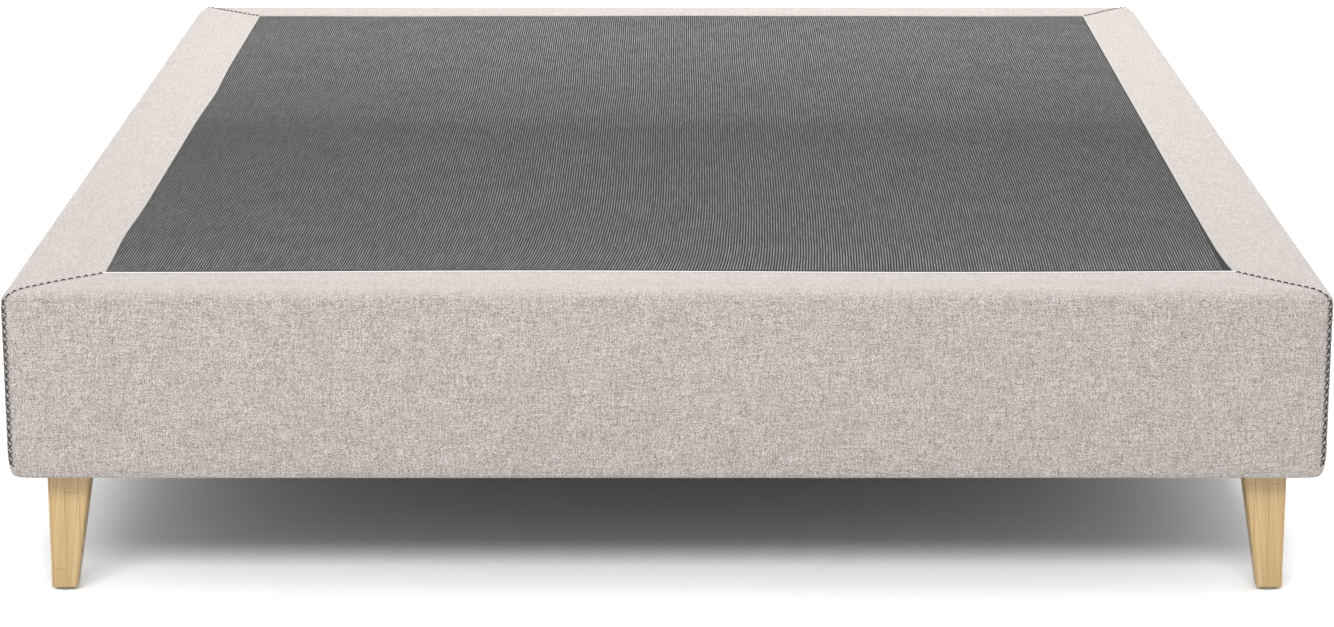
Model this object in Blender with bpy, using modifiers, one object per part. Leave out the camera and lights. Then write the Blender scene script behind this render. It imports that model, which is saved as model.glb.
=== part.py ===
"""Upholstered bed base for a 160 by 200 cm mattress, in metres, +Z up.

The origin is on the floor under the middle of the base. +Y points to the head
end, and -Y is the foot end that a person standing before the bed sees.
"""

import math

import bmesh
import bpy
from mathutils import Vector

# Overall size
BED_WIDTH = 1.600
BED_LENGTH = 2.000
BASE_HEIGHT = 0.230  # underside of the cover to the top of its border
CLEARANCE_HEIGHT = 0.158  # floor to the underside of the cover
SEAT_GAP = 0.0003  # between two pieces that rest on each other

# Cover: four fabric pieces with mitred corners, and a dark panel between them
COVER_THICKNESS = 0.002
BORDER_WIDTH = 0.106  # outer face to the seam with the dark panel
CORNER_RADIUS = 0.020  # upright corners
TOP_EDGE_RADIUS = 0.014
BOTTOM_EDGE_RADIUS = 0.010
MOST_EDGE_SHARE = 0.9  # of the corner radius, where a level edge meets an upright one
EDGE_SEGMENTS = 4
RETURN_ON_RAIL = 0.019  # width folded under each rail and stapled there
PANEL_CROWN = 0.004  # height of the padded middle above the seam
CROWN_RUN = 0.110  # distance over which the padding rises from the seam
CROWN_SHARES = ((0.30, 0.52), (0.65, 0.88), (1.0, 1.0))  # of the run, and of the height reached there

# Cross stitch over each corner seam
STITCH_PITCH = 0.010
STITCH_WIDTH = 0.005
THREAD_WIDTH = 0.0011
THREAD_THICKNESS = 0.0010
STITCH_STANDOFF = 0.0005

# Padding
TOP_PAD_THICKNESS = 0.014
SIDE_FOAM_THICKNESS = 0.008

# Deck boards and softwood frame
DECK_THICKNESS = 0.012
DECK_JOINT = 0.002
RAIL_THICKNESS = 0.022
BEARER_COUNT = 5
BEARER_THICKNESS = 0.022
BEARER_HEIGHT = 0.070
CLEAT_THICKNESS = 0.022
CLEAT_HEIGHT = 0.035
BEAM_WIDTH = 0.044
BEAM_LIFT = 0.028  # underside of the beam above that of the rails
HANGER_THICKNESS = 0.002
HANGER_LENGTH = 0.050
HANGER_HEIGHT = 0.070
BLOCK_SIDE = 0.070

# Corner legs and what holds them
LEG_TOP_WIDTH = 0.054
LEG_TOP_DEPTH = 0.042
LEG_FOOT_WIDTH = 0.031
LEG_FOOT_DEPTH = 0.025
LEG_EDGE_RADIUS = 0.0025
LEG_EDGE_SEGMENTS = 2
GLIDE_RADIUS = 0.010
GLIDE_THICKNESS = 0.003
PLATE_MARGIN = 0.007  # inner face of a rail to the edge of the leg plate
PLATE_RIM = 0.003  # plate past the leg's top on each side
PLATE_THICKNESS = 0.003
PLATE_CORNER_RADIUS = 0.006
BOLT_RADIUS = 0.004
BOLT_CHAMFER = 0.001
BOLT_POINT_LENGTH = 0.006
BOLT_IN_LEG = 0.040
BOLT_IN_BLOCK = 0.035
BOLT_CLEARANCE = 0.0003
BOLT_HOLE_SPARE = 0.004  # hole past the end of the bolt

# Middle legs with levelling feet
MIDDLE_LEG_SPACING = 0.840
MIDDLE_LEG_TOP_RADIUS = 0.025
MIDDLE_LEG_FOOT_RADIUS = 0.018
MIDDLE_PLATE_RADIUS = 0.032
FOOT_DISC_RADIUS = 0.020
FOOT_DISC_THICKNESS = 0.006
FOOT_DISC_EDGE = 0.0015
STUD_RADIUS = 0.005
STUD_GRIP = 0.026  # thread still in the leg with the foot right down
STUD_CLEARANCE = 0.0003
FOOT_TRAVEL_UP = 0.006
FOOT_TRAVEL_DOWN = 0.014
FOOT_STOP_CLEARANCE = 0.002

# Dust cover under the frame
DUST_COVER_THICKNESS = 0.001
DUST_COVER_INSET = 0.014
DUST_COVER_HOLE_CLEARANCE = 0.001

ROUND_STEPS = 16
ROUND_PROFILE_SHARE = 0.5  # a bevel with a circular section
CUT_OVERRUN = 0.010
MERGE_DISTANCE = 0.00005
SHARP_ANGLE = math.radians(35)

# Levels and outlines that several pieces share, from the floor up
BASE_BOTTOM = CLEARANCE_HEIGHT
BASE_TOP = BASE_BOTTOM + BASE_HEIGHT
RAIL_BOTTOM = BASE_BOTTOM + COVER_THICKNESS + SEAT_GAP
PAD_TOP = BASE_TOP - COVER_THICKNESS - SEAT_GAP
PAD_BOTTOM = PAD_TOP - TOP_PAD_THICKNESS
DECK_TOP = PAD_BOTTOM - SEAT_GAP
DECK_BOTTOM = DECK_TOP - DECK_THICKNESS
RAIL_TOP = DECK_BOTTOM - SEAT_GAP
BEARER_BOTTOM = RAIL_TOP - BEARER_HEIGHT
BEAM_TOP = BEARER_BOTTOM - SEAT_GAP
BEAM_BOTTOM = RAIL_BOTTOM + BEAM_LIFT
DUST_COVER_BOTTOM = BASE_BOTTOM - SEAT_GAP - DUST_COVER_THICKNESS

FOAM_INSET = COVER_THICKNESS + SEAT_GAP
RAIL_INSET = FOAM_INSET + SIDE_FOAM_THICKNESS + SEAT_GAP
FRAME_WIDTH = BED_WIDTH - 2 * RAIL_INSET
FRAME_LENGTH = BED_LENGTH - 2 * RAIL_INSET
FRAME_INNER_WIDTH = FRAME_WIDTH - 2 * RAIL_THICKNESS
FRAME_INNER_LENGTH = FRAME_LENGTH - 2 * RAIL_THICKNESS
FOAM_CORNER_RADIUS = max(CORNER_RADIUS - FOAM_INSET, SIDE_FOAM_THICKNESS + 2 * SEAT_GAP)
RAIL_CORNER_RADIUS = FOAM_CORNER_RADIUS - SIDE_FOAM_THICKNESS - SEAT_GAP
TOP_RADIUS = min(TOP_EDGE_RADIUS, MOST_EDGE_SHARE * CORNER_RADIUS)
BOTTOM_RADIUS = min(BOTTOM_EDGE_RADIUS, RAIL_INSET, MOST_EDGE_SHARE * CORNER_RADIUS)

CORNERS = {
    "front_left": (-1, -1),
    "front_right": (1, -1),
    "back_left": (-1, 1),
    "back_right": (1, 1),
}
LEG_INSET = RAIL_INSET + RAIL_THICKNESS + PLATE_MARGIN + PLATE_RIM
LEG_X = BED_WIDTH / 2 - LEG_INSET - LEG_TOP_WIDTH / 2
LEG_Y = BED_LENGTH / 2 - LEG_INSET - LEG_TOP_DEPTH / 2


def clear_scene():
    for obj in list(bpy.data.objects):
        bpy.data.objects.remove(obj, do_unlink=True)


def new_collection(name):
    collection = bpy.data.collections.new(name)
    bpy.context.scene.collection.children.link(collection)
    return collection


clear_scene()
PARTS = new_collection("upholstered_bed_base")
CUTTERS = new_collection("cutters")


def linear(channel):
    """A display colour channel from 0 to 255 as the linear value that a shader takes."""
    share = channel / 255
    if share <= 0.04045:
        return share / 12.92
    return ((share + 0.055) / 1.055) ** 2.4


def material(name, colour, roughness, metallic=0.0):
    made = bpy.data.materials.new(name)
    made.use_nodes = True
    shader = made.node_tree.nodes["Principled BSDF"]
    shader.inputs["Base Color"].default_value = (*map(linear, colour), 1.0)
    shader.inputs["Roughness"].default_value = roughness
    shader.inputs["Metallic"].default_value = metallic
    return made


GREY_FABRIC = material("cover_fabric", (200, 193, 187), 0.95)
DARK_FABRIC = material("grip_fabric", (104, 104, 106), 0.90)
BLACK_THREAD = material("seam_thread", (38, 36, 36), 0.80)
FOAM = material("foam", (233, 226, 204), 0.95)
DUST_CLOTH = material("dust_cloth", (58, 58, 60), 0.95)
PLYWOOD = material("deck_board", (206, 178, 136), 0.70)
SOFTWOOD = material("frame_timber", (222, 192, 148), 0.70)
LEG_WOOD = material("leg_wood", (213, 183, 135), 0.50)
ZINC_STEEL = material("zinc_steel", (178, 180, 182), 0.35, 1.0)
FELT = material("felt", (92, 88, 84), 1.0)
BLACK_PLASTIC = material("foot_plastic", (34, 34, 36), 0.55)


def place(name, mesh, finish, location=(0, 0, 0), parent=None):
    """One named sub-part, with its own material, at its place."""
    obj = bpy.data.objects.new(name, mesh)
    obj.location = location
    obj.parent = parent
    mesh.materials.append(finish)
    PARTS.objects.link(obj)
    return obj


def guide(name, location):
    """An empty that the pieces of one corner or one middle leg hang from."""
    empty = bpy.data.objects.new(name, None)
    empty.location = location
    PARTS.objects.link(empty)
    return empty


def mesh_of(bm, name, smooth=False):
    bm.normal_update()
    mesh = bpy.data.meshes.new(name)
    bm.to_mesh(mesh)
    bm.free()
    if smooth:
        mesh.shade_smooth()
        mesh.set_sharp_from_angle(angle=SHARP_ANGLE)
    return mesh


def block_bmesh(size):
    """A block on its own centre."""
    bm = bmesh.new()
    bmesh.ops.create_cube(bm, size=1)
    bmesh.ops.scale(bm, vec=size, verts=bm.verts)
    return bm


def block_mesh(name, size):
    return mesh_of(block_bmesh(size), name)


def along(edge, axis):
    """Whether an edge runs along the axis 0, 1 or 2."""
    run = edge.verts[1].co - edge.verts[0].co
    return abs(run[axis]) > MOST_EDGE_SHARE * run.length


def level_edges(bm, height):
    return [edge for edge in bm.edges if all(abs(v.co.z - height) < SEAT_GAP for v in edge.verts)]


def round_edges(bm, edges, radius):
    bmesh.ops.bevel(
        bm,
        geom=edges,
        offset=radius,
        offset_type="OFFSET",
        segments=EDGE_SEGMENTS,
        profile=ROUND_PROFILE_SHARE,
        affect="EDGES",
        clamp_overlap=False,
    )


def rounded_block(width, length, low, high, corner, top=0, bottom=0):
    """A block between two levels, with its upright corners and its level edges rounded."""
    bm = block_bmesh((width, length, high - low))
    bmesh.ops.translate(bm, vec=(0, 0, (high + low) / 2), verts=bm.verts)
    round_edges(bm, [edge for edge in bm.edges if along(edge, 2)], corner)
    if top:
        round_edges(bm, level_edges(bm, high), top)
    if bottom:
        round_edges(bm, level_edges(bm, low), bottom)
    return bm


def turned(name, profile, finish, location, parent):
    """A round piece from (radius, height) pairs that run from the axis down its outer side."""
    bm = bmesh.new()
    points = [bm.verts.new((radius, 0, height)) for radius, height in profile]
    for first, second in zip(points, points[1:]):
        bm.edges.new((first, second))
    obj = place(name, mesh_of(bm, name), finish, location, parent)
    turn = obj.modifiers.new("turn", "SCREW")
    turn.axis = "Z"
    turn.steps = ROUND_STEPS
    turn.render_steps = ROUND_STEPS
    turn.use_merge_vertices = True
    turn.merge_threshold = MERGE_DISTANCE
    turn.use_smooth_shade = True
    return obj


def cutter(name, radius, low, high, location, parent=None):
    """An upright round cutter between two heights above its location."""
    bm = bmesh.new()
    bmesh.ops.create_cone(
        bm,
        cap_ends=True,
        segments=ROUND_STEPS,
        radius1=radius,
        radius2=radius,
        depth=high - low,
    )
    bmesh.ops.translate(bm, vec=(0, 0, (high + low) / 2), verts=bm.verts)
    obj = bpy.data.objects.new(name, mesh_of(bm, name))
    obj.location = location
    obj.parent = parent
    obj.hide_render = True
    obj.display_type = "WIRE"
    CUTTERS.objects.link(obj)
    return obj


def cut(obj, tool):
    hole = obj.modifiers.new(tool.name, "BOOLEAN")
    hole.operation = "DIFFERENCE"
    hole.object = tool
    return hole


def thicken(obj, thickness):
    """Gives an open skin its wall, inwards from the modelled face."""
    wall = obj.modifiers.new("wall", "SOLIDIFY")
    wall.thickness = thickness
    wall.offset = -1
    wall.use_even_offset = True
    return wall


def cut_part(bm, faces, point, normal):
    """Cuts only some faces with a plane, and gives the faces that they are now."""
    edges = {edge for face in faces for edge in face.edges}
    verts = {vert for face in faces for vert in face.verts}
    result = bmesh.ops.bisect_plane(
        bm, geom=[*faces, *edges, *verts], plane_co=point, plane_no=normal
    )
    return [item for item in result["geom"] if isinstance(item, bmesh.types.BMFace)]


def middle_faces(bm, height, margin):
    """The middle of a level face, cut free from a strip as wide as the margin all round."""
    faces = [face for face in bm.faces if all(abs(v.co.z - height) < SEAT_GAP for v in face.verts)]
    half = (BED_WIDTH / 2 - margin, BED_LENGTH / 2 - margin)
    for axis in (0, 1):
        for side in (-1, 1):
            point = Vector((0, 0, height))
            point[axis] = side * half[axis]
            normal = Vector((0, 0, 0))
            normal[axis] = side
            faces = cut_part(bm, faces, point, normal)
    inner = []
    for face in faces:
        middle = face.calc_center_median()
        if abs(middle.x) < half[0] and abs(middle.y) < half[1]:
            inner.append(face)
    return inner


def cover_skin():
    """The whole outer skin, open over the dark panel and under the frame."""
    bm = rounded_block(
        BED_WIDTH, BED_LENGTH, BASE_BOTTOM, BASE_TOP, CORNER_RADIUS, TOP_RADIUS, BOTTOM_RADIUS
    )
    for height, margin in ((BASE_TOP, BORDER_WIDTH), (BASE_BOTTOM, RAIL_INSET + RETURN_ON_RAIL)):
        bmesh.ops.delete(bm, geom=middle_faces(bm, height, margin), context="FACES")
    return bm


def keep_behind(bm, point, normal):
    """Cuts a closed shape with a plane, keeps the side behind it and closes the cut."""
    result = bmesh.ops.bisect_plane(
        bm,
        geom=[*bm.verts, *bm.edges, *bm.faces],
        plane_co=point,
        plane_no=normal,
        clear_outer=True,
    )
    rim = [item for item in result["geom_cut"] if isinstance(item, bmesh.types.BMEdge)]
    bmesh.ops.edgenet_fill(bm, edges=rim)
    bmesh.ops.recalc_face_normals(bm, faces=bm.faces)


def mitre_wedge(name, out):
    """A cutter that holds one side of the base, up to the mitre planes of its two corners."""
    overrun = Vector((CUT_OVERRUN, CUT_OVERRUN, CUT_OVERRUN)) * 2
    bm = block_bmesh(Vector((BED_WIDTH, BED_LENGTH, BASE_HEIGHT)) + overrun)
    across = Vector((-out[1], out[0], 0))
    outward = Vector((*out, 0))
    corner_reach = Vector((BED_WIDTH / 2, BED_LENGTH / 2, 0))
    for side in (-1, 1):
        normal = (across * side - outward).normalized()
        corner = (across * side + outward) * corner_reach
        keep_behind(bm, corner - normal * SEAT_GAP / 2, normal)
    obj = bpy.data.objects.new(name, mesh_of(bm, name))
    obj.location = (0, 0, BASE_BOTTOM + BASE_HEIGHT / 2)
    obj.hide_render = True
    obj.display_type = "WIRE"
    CUTTERS.objects.link(obj)
    return obj


def make_cover_piece(name, out):
    """One side of the cover, mitred at its two corners."""
    obj = place(name, mesh_of(cover_skin(), name, smooth=True), GREY_FABRIC)
    thicken(obj, COVER_THICKNESS)
    side = obj.modifiers.new("mitre", "BOOLEAN")
    side.operation = "INTERSECT"
    side.object = mitre_wedge("wedge_" + name, out)


def raise_crown(bm, face):
    """Lifts the middle of a level face in soft steps, each inset from the last."""
    run_before = 0
    rise_before = 0
    for run_share, rise_share in CROWN_SHARES:
        step = CROWN_RUN * run_share - run_before
        rise = PANEL_CROWN * rise_share - rise_before
        bmesh.ops.inset_region(
            bm, faces=[face], thickness=step, use_boundary=True, use_even_offset=True
        )
        bmesh.ops.translate(bm, vec=(0, 0, rise), verts=face.verts)
        run_before += step
        rise_before += rise


def make_top_panel():
    """The dark grip fabric, sewn in between the four borders."""
    bm = bmesh.new()
    bmesh.ops.create_grid(bm, x_segments=1, y_segments=1, size=1)
    half_width = BED_WIDTH / 2 - BORDER_WIDTH - SEAT_GAP
    half_length = BED_LENGTH / 2 - BORDER_WIDTH - SEAT_GAP
    bmesh.ops.scale(bm, vec=(half_width, half_length, 1), verts=bm.verts)
    bm.faces.ensure_lookup_table()
    raise_crown(bm, bm.faces[0])
    obj = place("top_panel", mesh_of(bm, "top_panel", smooth=True), DARK_FABRIC, (0, 0, BASE_TOP))
    thicken(obj, COVER_THICKNESS)


class SeamPath:
    """The corner seam in its upright diagonal plane: along the mitre, over the edge and down."""

    def __init__(self, sign_x, sign_y):
        self.outward = Vector((sign_x, sign_y, 0)).normalized()
        self.start = Vector(
            (
                sign_x * (BED_WIDTH / 2 - BORDER_WIDTH),
                sign_y * (BED_LENGTH / 2 - BORDER_WIDTH),
                BASE_TOP,
            )
        )
        full_mitre = math.sqrt(2) * BORDER_WIDTH - (math.sqrt(2) - 1) * CORNER_RADIUS
        self.flat = full_mitre - TOP_RADIUS
        self.bend = TOP_RADIUS * math.pi / 2
        self.drop = BASE_HEIGHT - TOP_RADIUS - BOTTOM_RADIUS
        self.length = self.flat + self.bend + self.drop

    def frame_at(self, run):
        """The point on the cover at a run along the seam, and the way out of the surface there."""
        if run < self.flat:
            return self.start + self.outward * run, Vector((0, 0, 1))
        up = Vector((0, 0, 1))
        centre = self.start + self.outward * self.flat - up * TOP_RADIUS
        angle = min((run - self.flat) / TOP_RADIUS, math.pi / 2)
        normal = up * math.cos(angle) + self.outward * math.sin(angle)
        fall = max(run - self.flat - self.bend, 0)
        return centre + normal * TOP_RADIUS - up * fall, normal


def make_corner_stitch(name, sign_x, sign_y):
    """Two threads that cross at each stitch and turn back at the holes on both sides."""
    path = SeamPath(sign_x, sign_y)
    count = round(path.length / STITCH_PITCH)
    pitch = path.length / (count + 1)
    across = Vector((-path.outward.y, path.outward.x, 0))
    half = STITCH_WIDTH / 2
    slope = math.atan2(half, pitch / 2)
    reach_along = THREAD_WIDTH / 2 / math.sin(slope)
    reach_across = THREAD_WIDTH / 2 / math.cos(slope)
    bm = bmesh.new()

    def vert(run, aside):
        point, normal = path.frame_at(run)
        return bm.verts.new(point + across * aside + normal * STITCH_STANDOFF)

    last = None
    for index in range(count + 1):
        run = (index + 0.5) * pitch
        back = vert(run - reach_along, 0)
        ahead = vert(run + reach_along, 0)
        sides = {side: vert(run, side * reach_across) for side in (-1, 1)}
        bm.faces.new((back, sides[-1], ahead, sides[1]))
        if last:
            turn_run = run - pitch / 2
            for side in (-1, 1):
                inner = vert(turn_run, side * (half - reach_across))
                outer = vert(turn_run, side * (half + reach_across))
                bm.faces.new((last[0], inner, outer, last[1][side]))
                bm.faces.new((back, sides[side], outer, inner))
        last = (ahead, sides)
    bmesh.ops.recalc_face_normals(bm, faces=bm.faces)
    bm.faces.ensure_lookup_table()
    if bm.faces[0].normal.z < 0:
        bmesh.ops.reverse_faces(bm, faces=bm.faces)
    obj = place(name, mesh_of(bm, name), BLACK_THREAD)
    thicken(obj, THREAD_THICKNESS).offset = 1


def make_cover():
    make_cover_piece("cover_front", (0, -1))
    make_cover_piece("cover_back", (0, 1))
    make_cover_piece("cover_left", (-1, 0))
    make_cover_piece("cover_right", (1, 0))
    make_top_panel()
    for corner, (sign_x, sign_y) in CORNERS.items():
        make_corner_stitch("corner_stitch_" + corner, sign_x, sign_y)


def make_top_pad():
    """The foam sheet under the whole top, crowned under the dark panel."""
    width = BED_WIDTH - 2 * FOAM_INSET
    length = BED_LENGTH - 2 * FOAM_INSET
    low = PAD_BOTTOM - TOP_RADIUS
    bm = rounded_block(width, length, low, PAD_TOP, FOAM_CORNER_RADIUS, top=TOP_RADIUS - FOAM_INSET)
    keep_behind(bm, Vector((0, 0, PAD_BOTTOM)), Vector((0, 0, -1)))
    for face in middle_faces(bm, PAD_TOP, BORDER_WIDTH + SEAT_GAP):
        raise_crown(bm, face)
    place("top_pad", mesh_of(bm, "top_pad", smooth=True), FOAM)


def make_side_foam():
    """One strip of foam wrapped round the four rails, under the cover's sides."""
    bm = rounded_block(
        BED_WIDTH - 2 * FOAM_INSET,
        BED_LENGTH - 2 * FOAM_INSET,
        RAIL_BOTTOM + BOTTOM_RADIUS,
        DECK_TOP,
        FOAM_CORNER_RADIUS,
    )
    level = [face for face in bm.faces if abs(face.normal.z) > MOST_EDGE_SHARE]
    bmesh.ops.delete(bm, geom=level, context="FACES")
    obj = place("side_foam", mesh_of(bm, "side_foam", smooth=True), FOAM)
    thicken(obj, SIDE_FOAM_THICKNESS)


def make_decks():
    """Two boards that meet across the middle of the bed, over the middle bearer."""
    length = (FRAME_LENGTH - DECK_JOINT) / 2
    size = (FRAME_WIDTH, length, DECK_THICKNESS)
    for name, side in (("deck_board_foot", -1), ("deck_board_head", 1)):
        bm = block_bmesh(size)
        corners = [edge for edge in bm.edges if along(edge, 2) and edge.verts[0].co.y * side > 0]
        round_edges(bm, corners, RAIL_CORNER_RADIUS)
        location = (0, side * (length + DECK_JOINT) / 2, DECK_BOTTOM + DECK_THICKNESS / 2)
        place(name, mesh_of(bm, name), PLYWOOD, location)


def make_rails():
    """Side rails over the full length, and end rails between them."""
    height = RAIL_TOP - RAIL_BOTTOM
    middle = (RAIL_TOP + RAIL_BOTTOM) / 2
    for name, side in (("side_rail_left", -1), ("side_rail_right", 1)):
        bm = block_bmesh((RAIL_THICKNESS, FRAME_LENGTH, height))
        outer = [edge for edge in bm.edges if along(edge, 2) and edge.verts[0].co.x * side > 0]
        round_edges(bm, outer, RAIL_CORNER_RADIUS)
        location = (side * (FRAME_WIDTH - RAIL_THICKNESS) / 2, 0, middle)
        place(name, mesh_of(bm, name), SOFTWOOD, location)
    size = (FRAME_INNER_WIDTH - 2 * SEAT_GAP, RAIL_THICKNESS, height)
    for name, side in (("foot_rail", -1), ("head_rail", 1)):
        location = (0, side * (FRAME_LENGTH - RAIL_THICKNESS) / 2, middle)
        place(name, block_mesh(name, size), SOFTWOOD, location)


def make_bearers():
    """Cross bearers under the deck, on a cleat at each side and on the centre beam."""
    spacing = FRAME_INNER_LENGTH / (BEARER_COUNT + 1)
    size = (FRAME_INNER_WIDTH - 2 * SEAT_GAP, BEARER_THICKNESS, BEARER_HEIGHT)
    for index in range(BEARER_COUNT):
        name = f"cross_bearer_{index + 1}"
        y = spacing * (index + 1) - FRAME_INNER_LENGTH / 2
        place(name, block_mesh(name, size), SOFTWOOD, (0, y, BEARER_BOTTOM + BEARER_HEIGHT / 2))
    cleat_length = FRAME_INNER_LENGTH - 2 * (BLOCK_SIDE + 2 * SEAT_GAP)
    size = (CLEAT_THICKNESS, cleat_length, CLEAT_HEIGHT)
    for name, side in (("bearer_cleat_left", -1), ("bearer_cleat_right", 1)):
        x = side * (FRAME_INNER_WIDTH / 2 - SEAT_GAP - CLEAT_THICKNESS / 2)
        place(name, block_mesh(name, size), SOFTWOOD, (x, 0, BEAM_TOP - CLEAT_HEIGHT / 2))


def make_centre_beam():
    """The lengthwise beam, held at each end by a bent steel hanger on the end rail."""
    end_gap = HANGER_THICKNESS + 2 * SEAT_GAP
    size = (BEAM_WIDTH, FRAME_INNER_LENGTH - 2 * end_gap, BEAM_TOP - BEAM_BOTTOM)
    location = (0, 0, (BEAM_TOP + BEAM_BOTTOM) / 2)
    beam = place("centre_beam", block_mesh("centre_beam", size), SOFTWOOD, location)
    inner_width = BEAM_WIDTH + 2 * SEAT_GAP
    for name, side in (("beam_hanger_foot", -1), ("beam_hanger_head", 1)):
        bm = block_bmesh((inner_width, HANGER_LENGTH, HANGER_HEIGHT))
        open_faces = [
            face for face in bm.faces if max(face.normal.z, -face.normal.y * side) > MOST_EDGE_SHARE
        ]
        bmesh.ops.delete(bm, geom=open_faces, context="FACES")
        y = side * (FRAME_INNER_LENGTH / 2 - SEAT_GAP - HANGER_THICKNESS - HANGER_LENGTH / 2)
        z = BEAM_BOTTOM - SEAT_GAP + HANGER_HEIGHT / 2
        obj = place(name, mesh_of(bm, name), ZINC_STEEL, (0, y, z))
        thicken(obj, HANGER_THICKNESS).offset = 1
    return beam


def make_leg(name, sign_x, sign_y, top, foot, parent):
    """A leg that is square to the bed outside and tapers on its two inner faces."""
    bm = block_bmesh((LEG_TOP_WIDTH, LEG_TOP_DEPTH, top - foot))
    bmesh.ops.translate(bm, vec=(0, 0, (top + foot) / 2), verts=bm.verts)
    for vert in bm.verts:
        if vert.co.z < (top + foot) / 2:
            if vert.co.x * sign_x < 0:
                vert.co.x += sign_x * (LEG_TOP_WIDTH - LEG_FOOT_WIDTH)
            if vert.co.y * sign_y < 0:
                vert.co.y += sign_y * (LEG_TOP_DEPTH - LEG_FOOT_DEPTH)
    middle = (top + foot) / 2
    edges = [edge for edge in bm.edges if min(v.co.z for v in edge.verts) < middle]
    bmesh.ops.bevel(
        bm,
        geom=edges,
        offset=LEG_EDGE_RADIUS,
        offset_type="OFFSET",
        segments=LEG_EDGE_SEGMENTS,
        profile=ROUND_PROFILE_SHARE,
        affect="EDGES",
        clamp_overlap=False,
    )
    return place(name, mesh_of(bm, name, smooth=True), LEG_WOOD, parent=parent)


def make_glide(name, location, parent):
    bm = bmesh.new()
    bmesh.ops.create_cone(
        bm,
        cap_ends=True,
        segments=ROUND_STEPS,
        radius1=GLIDE_RADIUS,
        radius2=GLIDE_RADIUS,
        depth=GLIDE_THICKNESS,
    )
    place(name, mesh_of(bm, name, smooth=True), FELT, location, parent)


def bolt_profile(low, high):
    """A threaded bolt as (radius, height) pairs: blunt above, pointed below."""
    return (
        (0, high),
        (BOLT_RADIUS - BOLT_CHAMFER, high),
        (BOLT_RADIUS, high - BOLT_CHAMFER),
        (BOLT_RADIUS, low + BOLT_POINT_LENGTH),
        (BOLT_CHAMFER, low),
        (0, low),
    )


def make_corner_supports():
    """At each corner: a block in the frame, its steel plate, the bolt, the leg and a glide."""
    hole_radius = BOLT_RADIUS + BOLT_CLEARANCE
    leg_top = DUST_COVER_BOTTOM - SEAT_GAP - BASE_BOTTOM
    leg_foot = GLIDE_THICKNESS + SEAT_GAP - BASE_BOTTOM
    block_bottom = PLATE_THICKNESS + SEAT_GAP
    block_height = BEAM_TOP - BASE_BOTTOM - block_bottom
    for corner, (sign_x, sign_y) in CORNERS.items():
        axis = guide("axis_" + corner, (sign_x * LEG_X, sign_y * LEG_Y, BASE_BOTTOM))
        bolt_low = leg_top - BOLT_IN_LEG
        bolt_high = block_bottom + BOLT_IN_BLOCK
        turned("leg_bolt_" + corner, bolt_profile(bolt_low, bolt_high), ZINC_STEEL, (0, 0, 0), axis)
        hole = cutter(
            "bolt_hole_" + corner,
            hole_radius,
            bolt_low - BOLT_HOLE_SPARE,
            bolt_high + BOLT_HOLE_SPARE,
            (0, 0, 0),
            axis,
        )
        block_x = sign_x * (FRAME_INNER_WIDTH / 2 - SEAT_GAP - BLOCK_SIDE / 2 - LEG_X)
        block_y = sign_y * (FRAME_INNER_LENGTH / 2 - SEAT_GAP - BLOCK_SIDE / 2 - LEG_Y)
        name = "corner_block_" + corner
        mesh = block_mesh(name, (BLOCK_SIDE, BLOCK_SIDE, block_height))
        place_z = block_bottom + block_height / 2
        cut(place(name, mesh, SOFTWOOD, (block_x, block_y, place_z), axis), hole)
        name = "leg_plate_" + corner
        plate_size = (LEG_TOP_WIDTH + 2 * PLATE_RIM, LEG_TOP_DEPTH + 2 * PLATE_RIM, PLATE_THICKNESS)
        bm = block_bmesh(plate_size)
        round_edges(bm, [edge for edge in bm.edges if along(edge, 2)], PLATE_CORNER_RADIUS)
        plate = place(name, mesh_of(bm, name), ZINC_STEEL, (0, 0, PLATE_THICKNESS / 2), axis)
        cut(plate, hole)
        cut(make_leg("leg_" + corner, sign_x, sign_y, leg_top, leg_foot, axis), hole)
        glide_place = (
            sign_x * (LEG_TOP_WIDTH - LEG_FOOT_WIDTH) / 2,
            sign_y * (LEG_TOP_DEPTH - LEG_FOOT_DEPTH) / 2,
            GLIDE_THICKNESS / 2 - BASE_BOTTOM,
        )
        make_glide("glide_" + corner, glide_place, axis)


def middle_leg_radius(level, leg_low, leg_high):
    share = (level - leg_low) / (leg_high - leg_low)
    return MIDDLE_LEG_FOOT_RADIUS + (MIDDLE_LEG_TOP_RADIUS - MIDDLE_LEG_FOOT_RADIUS) * share


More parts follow.
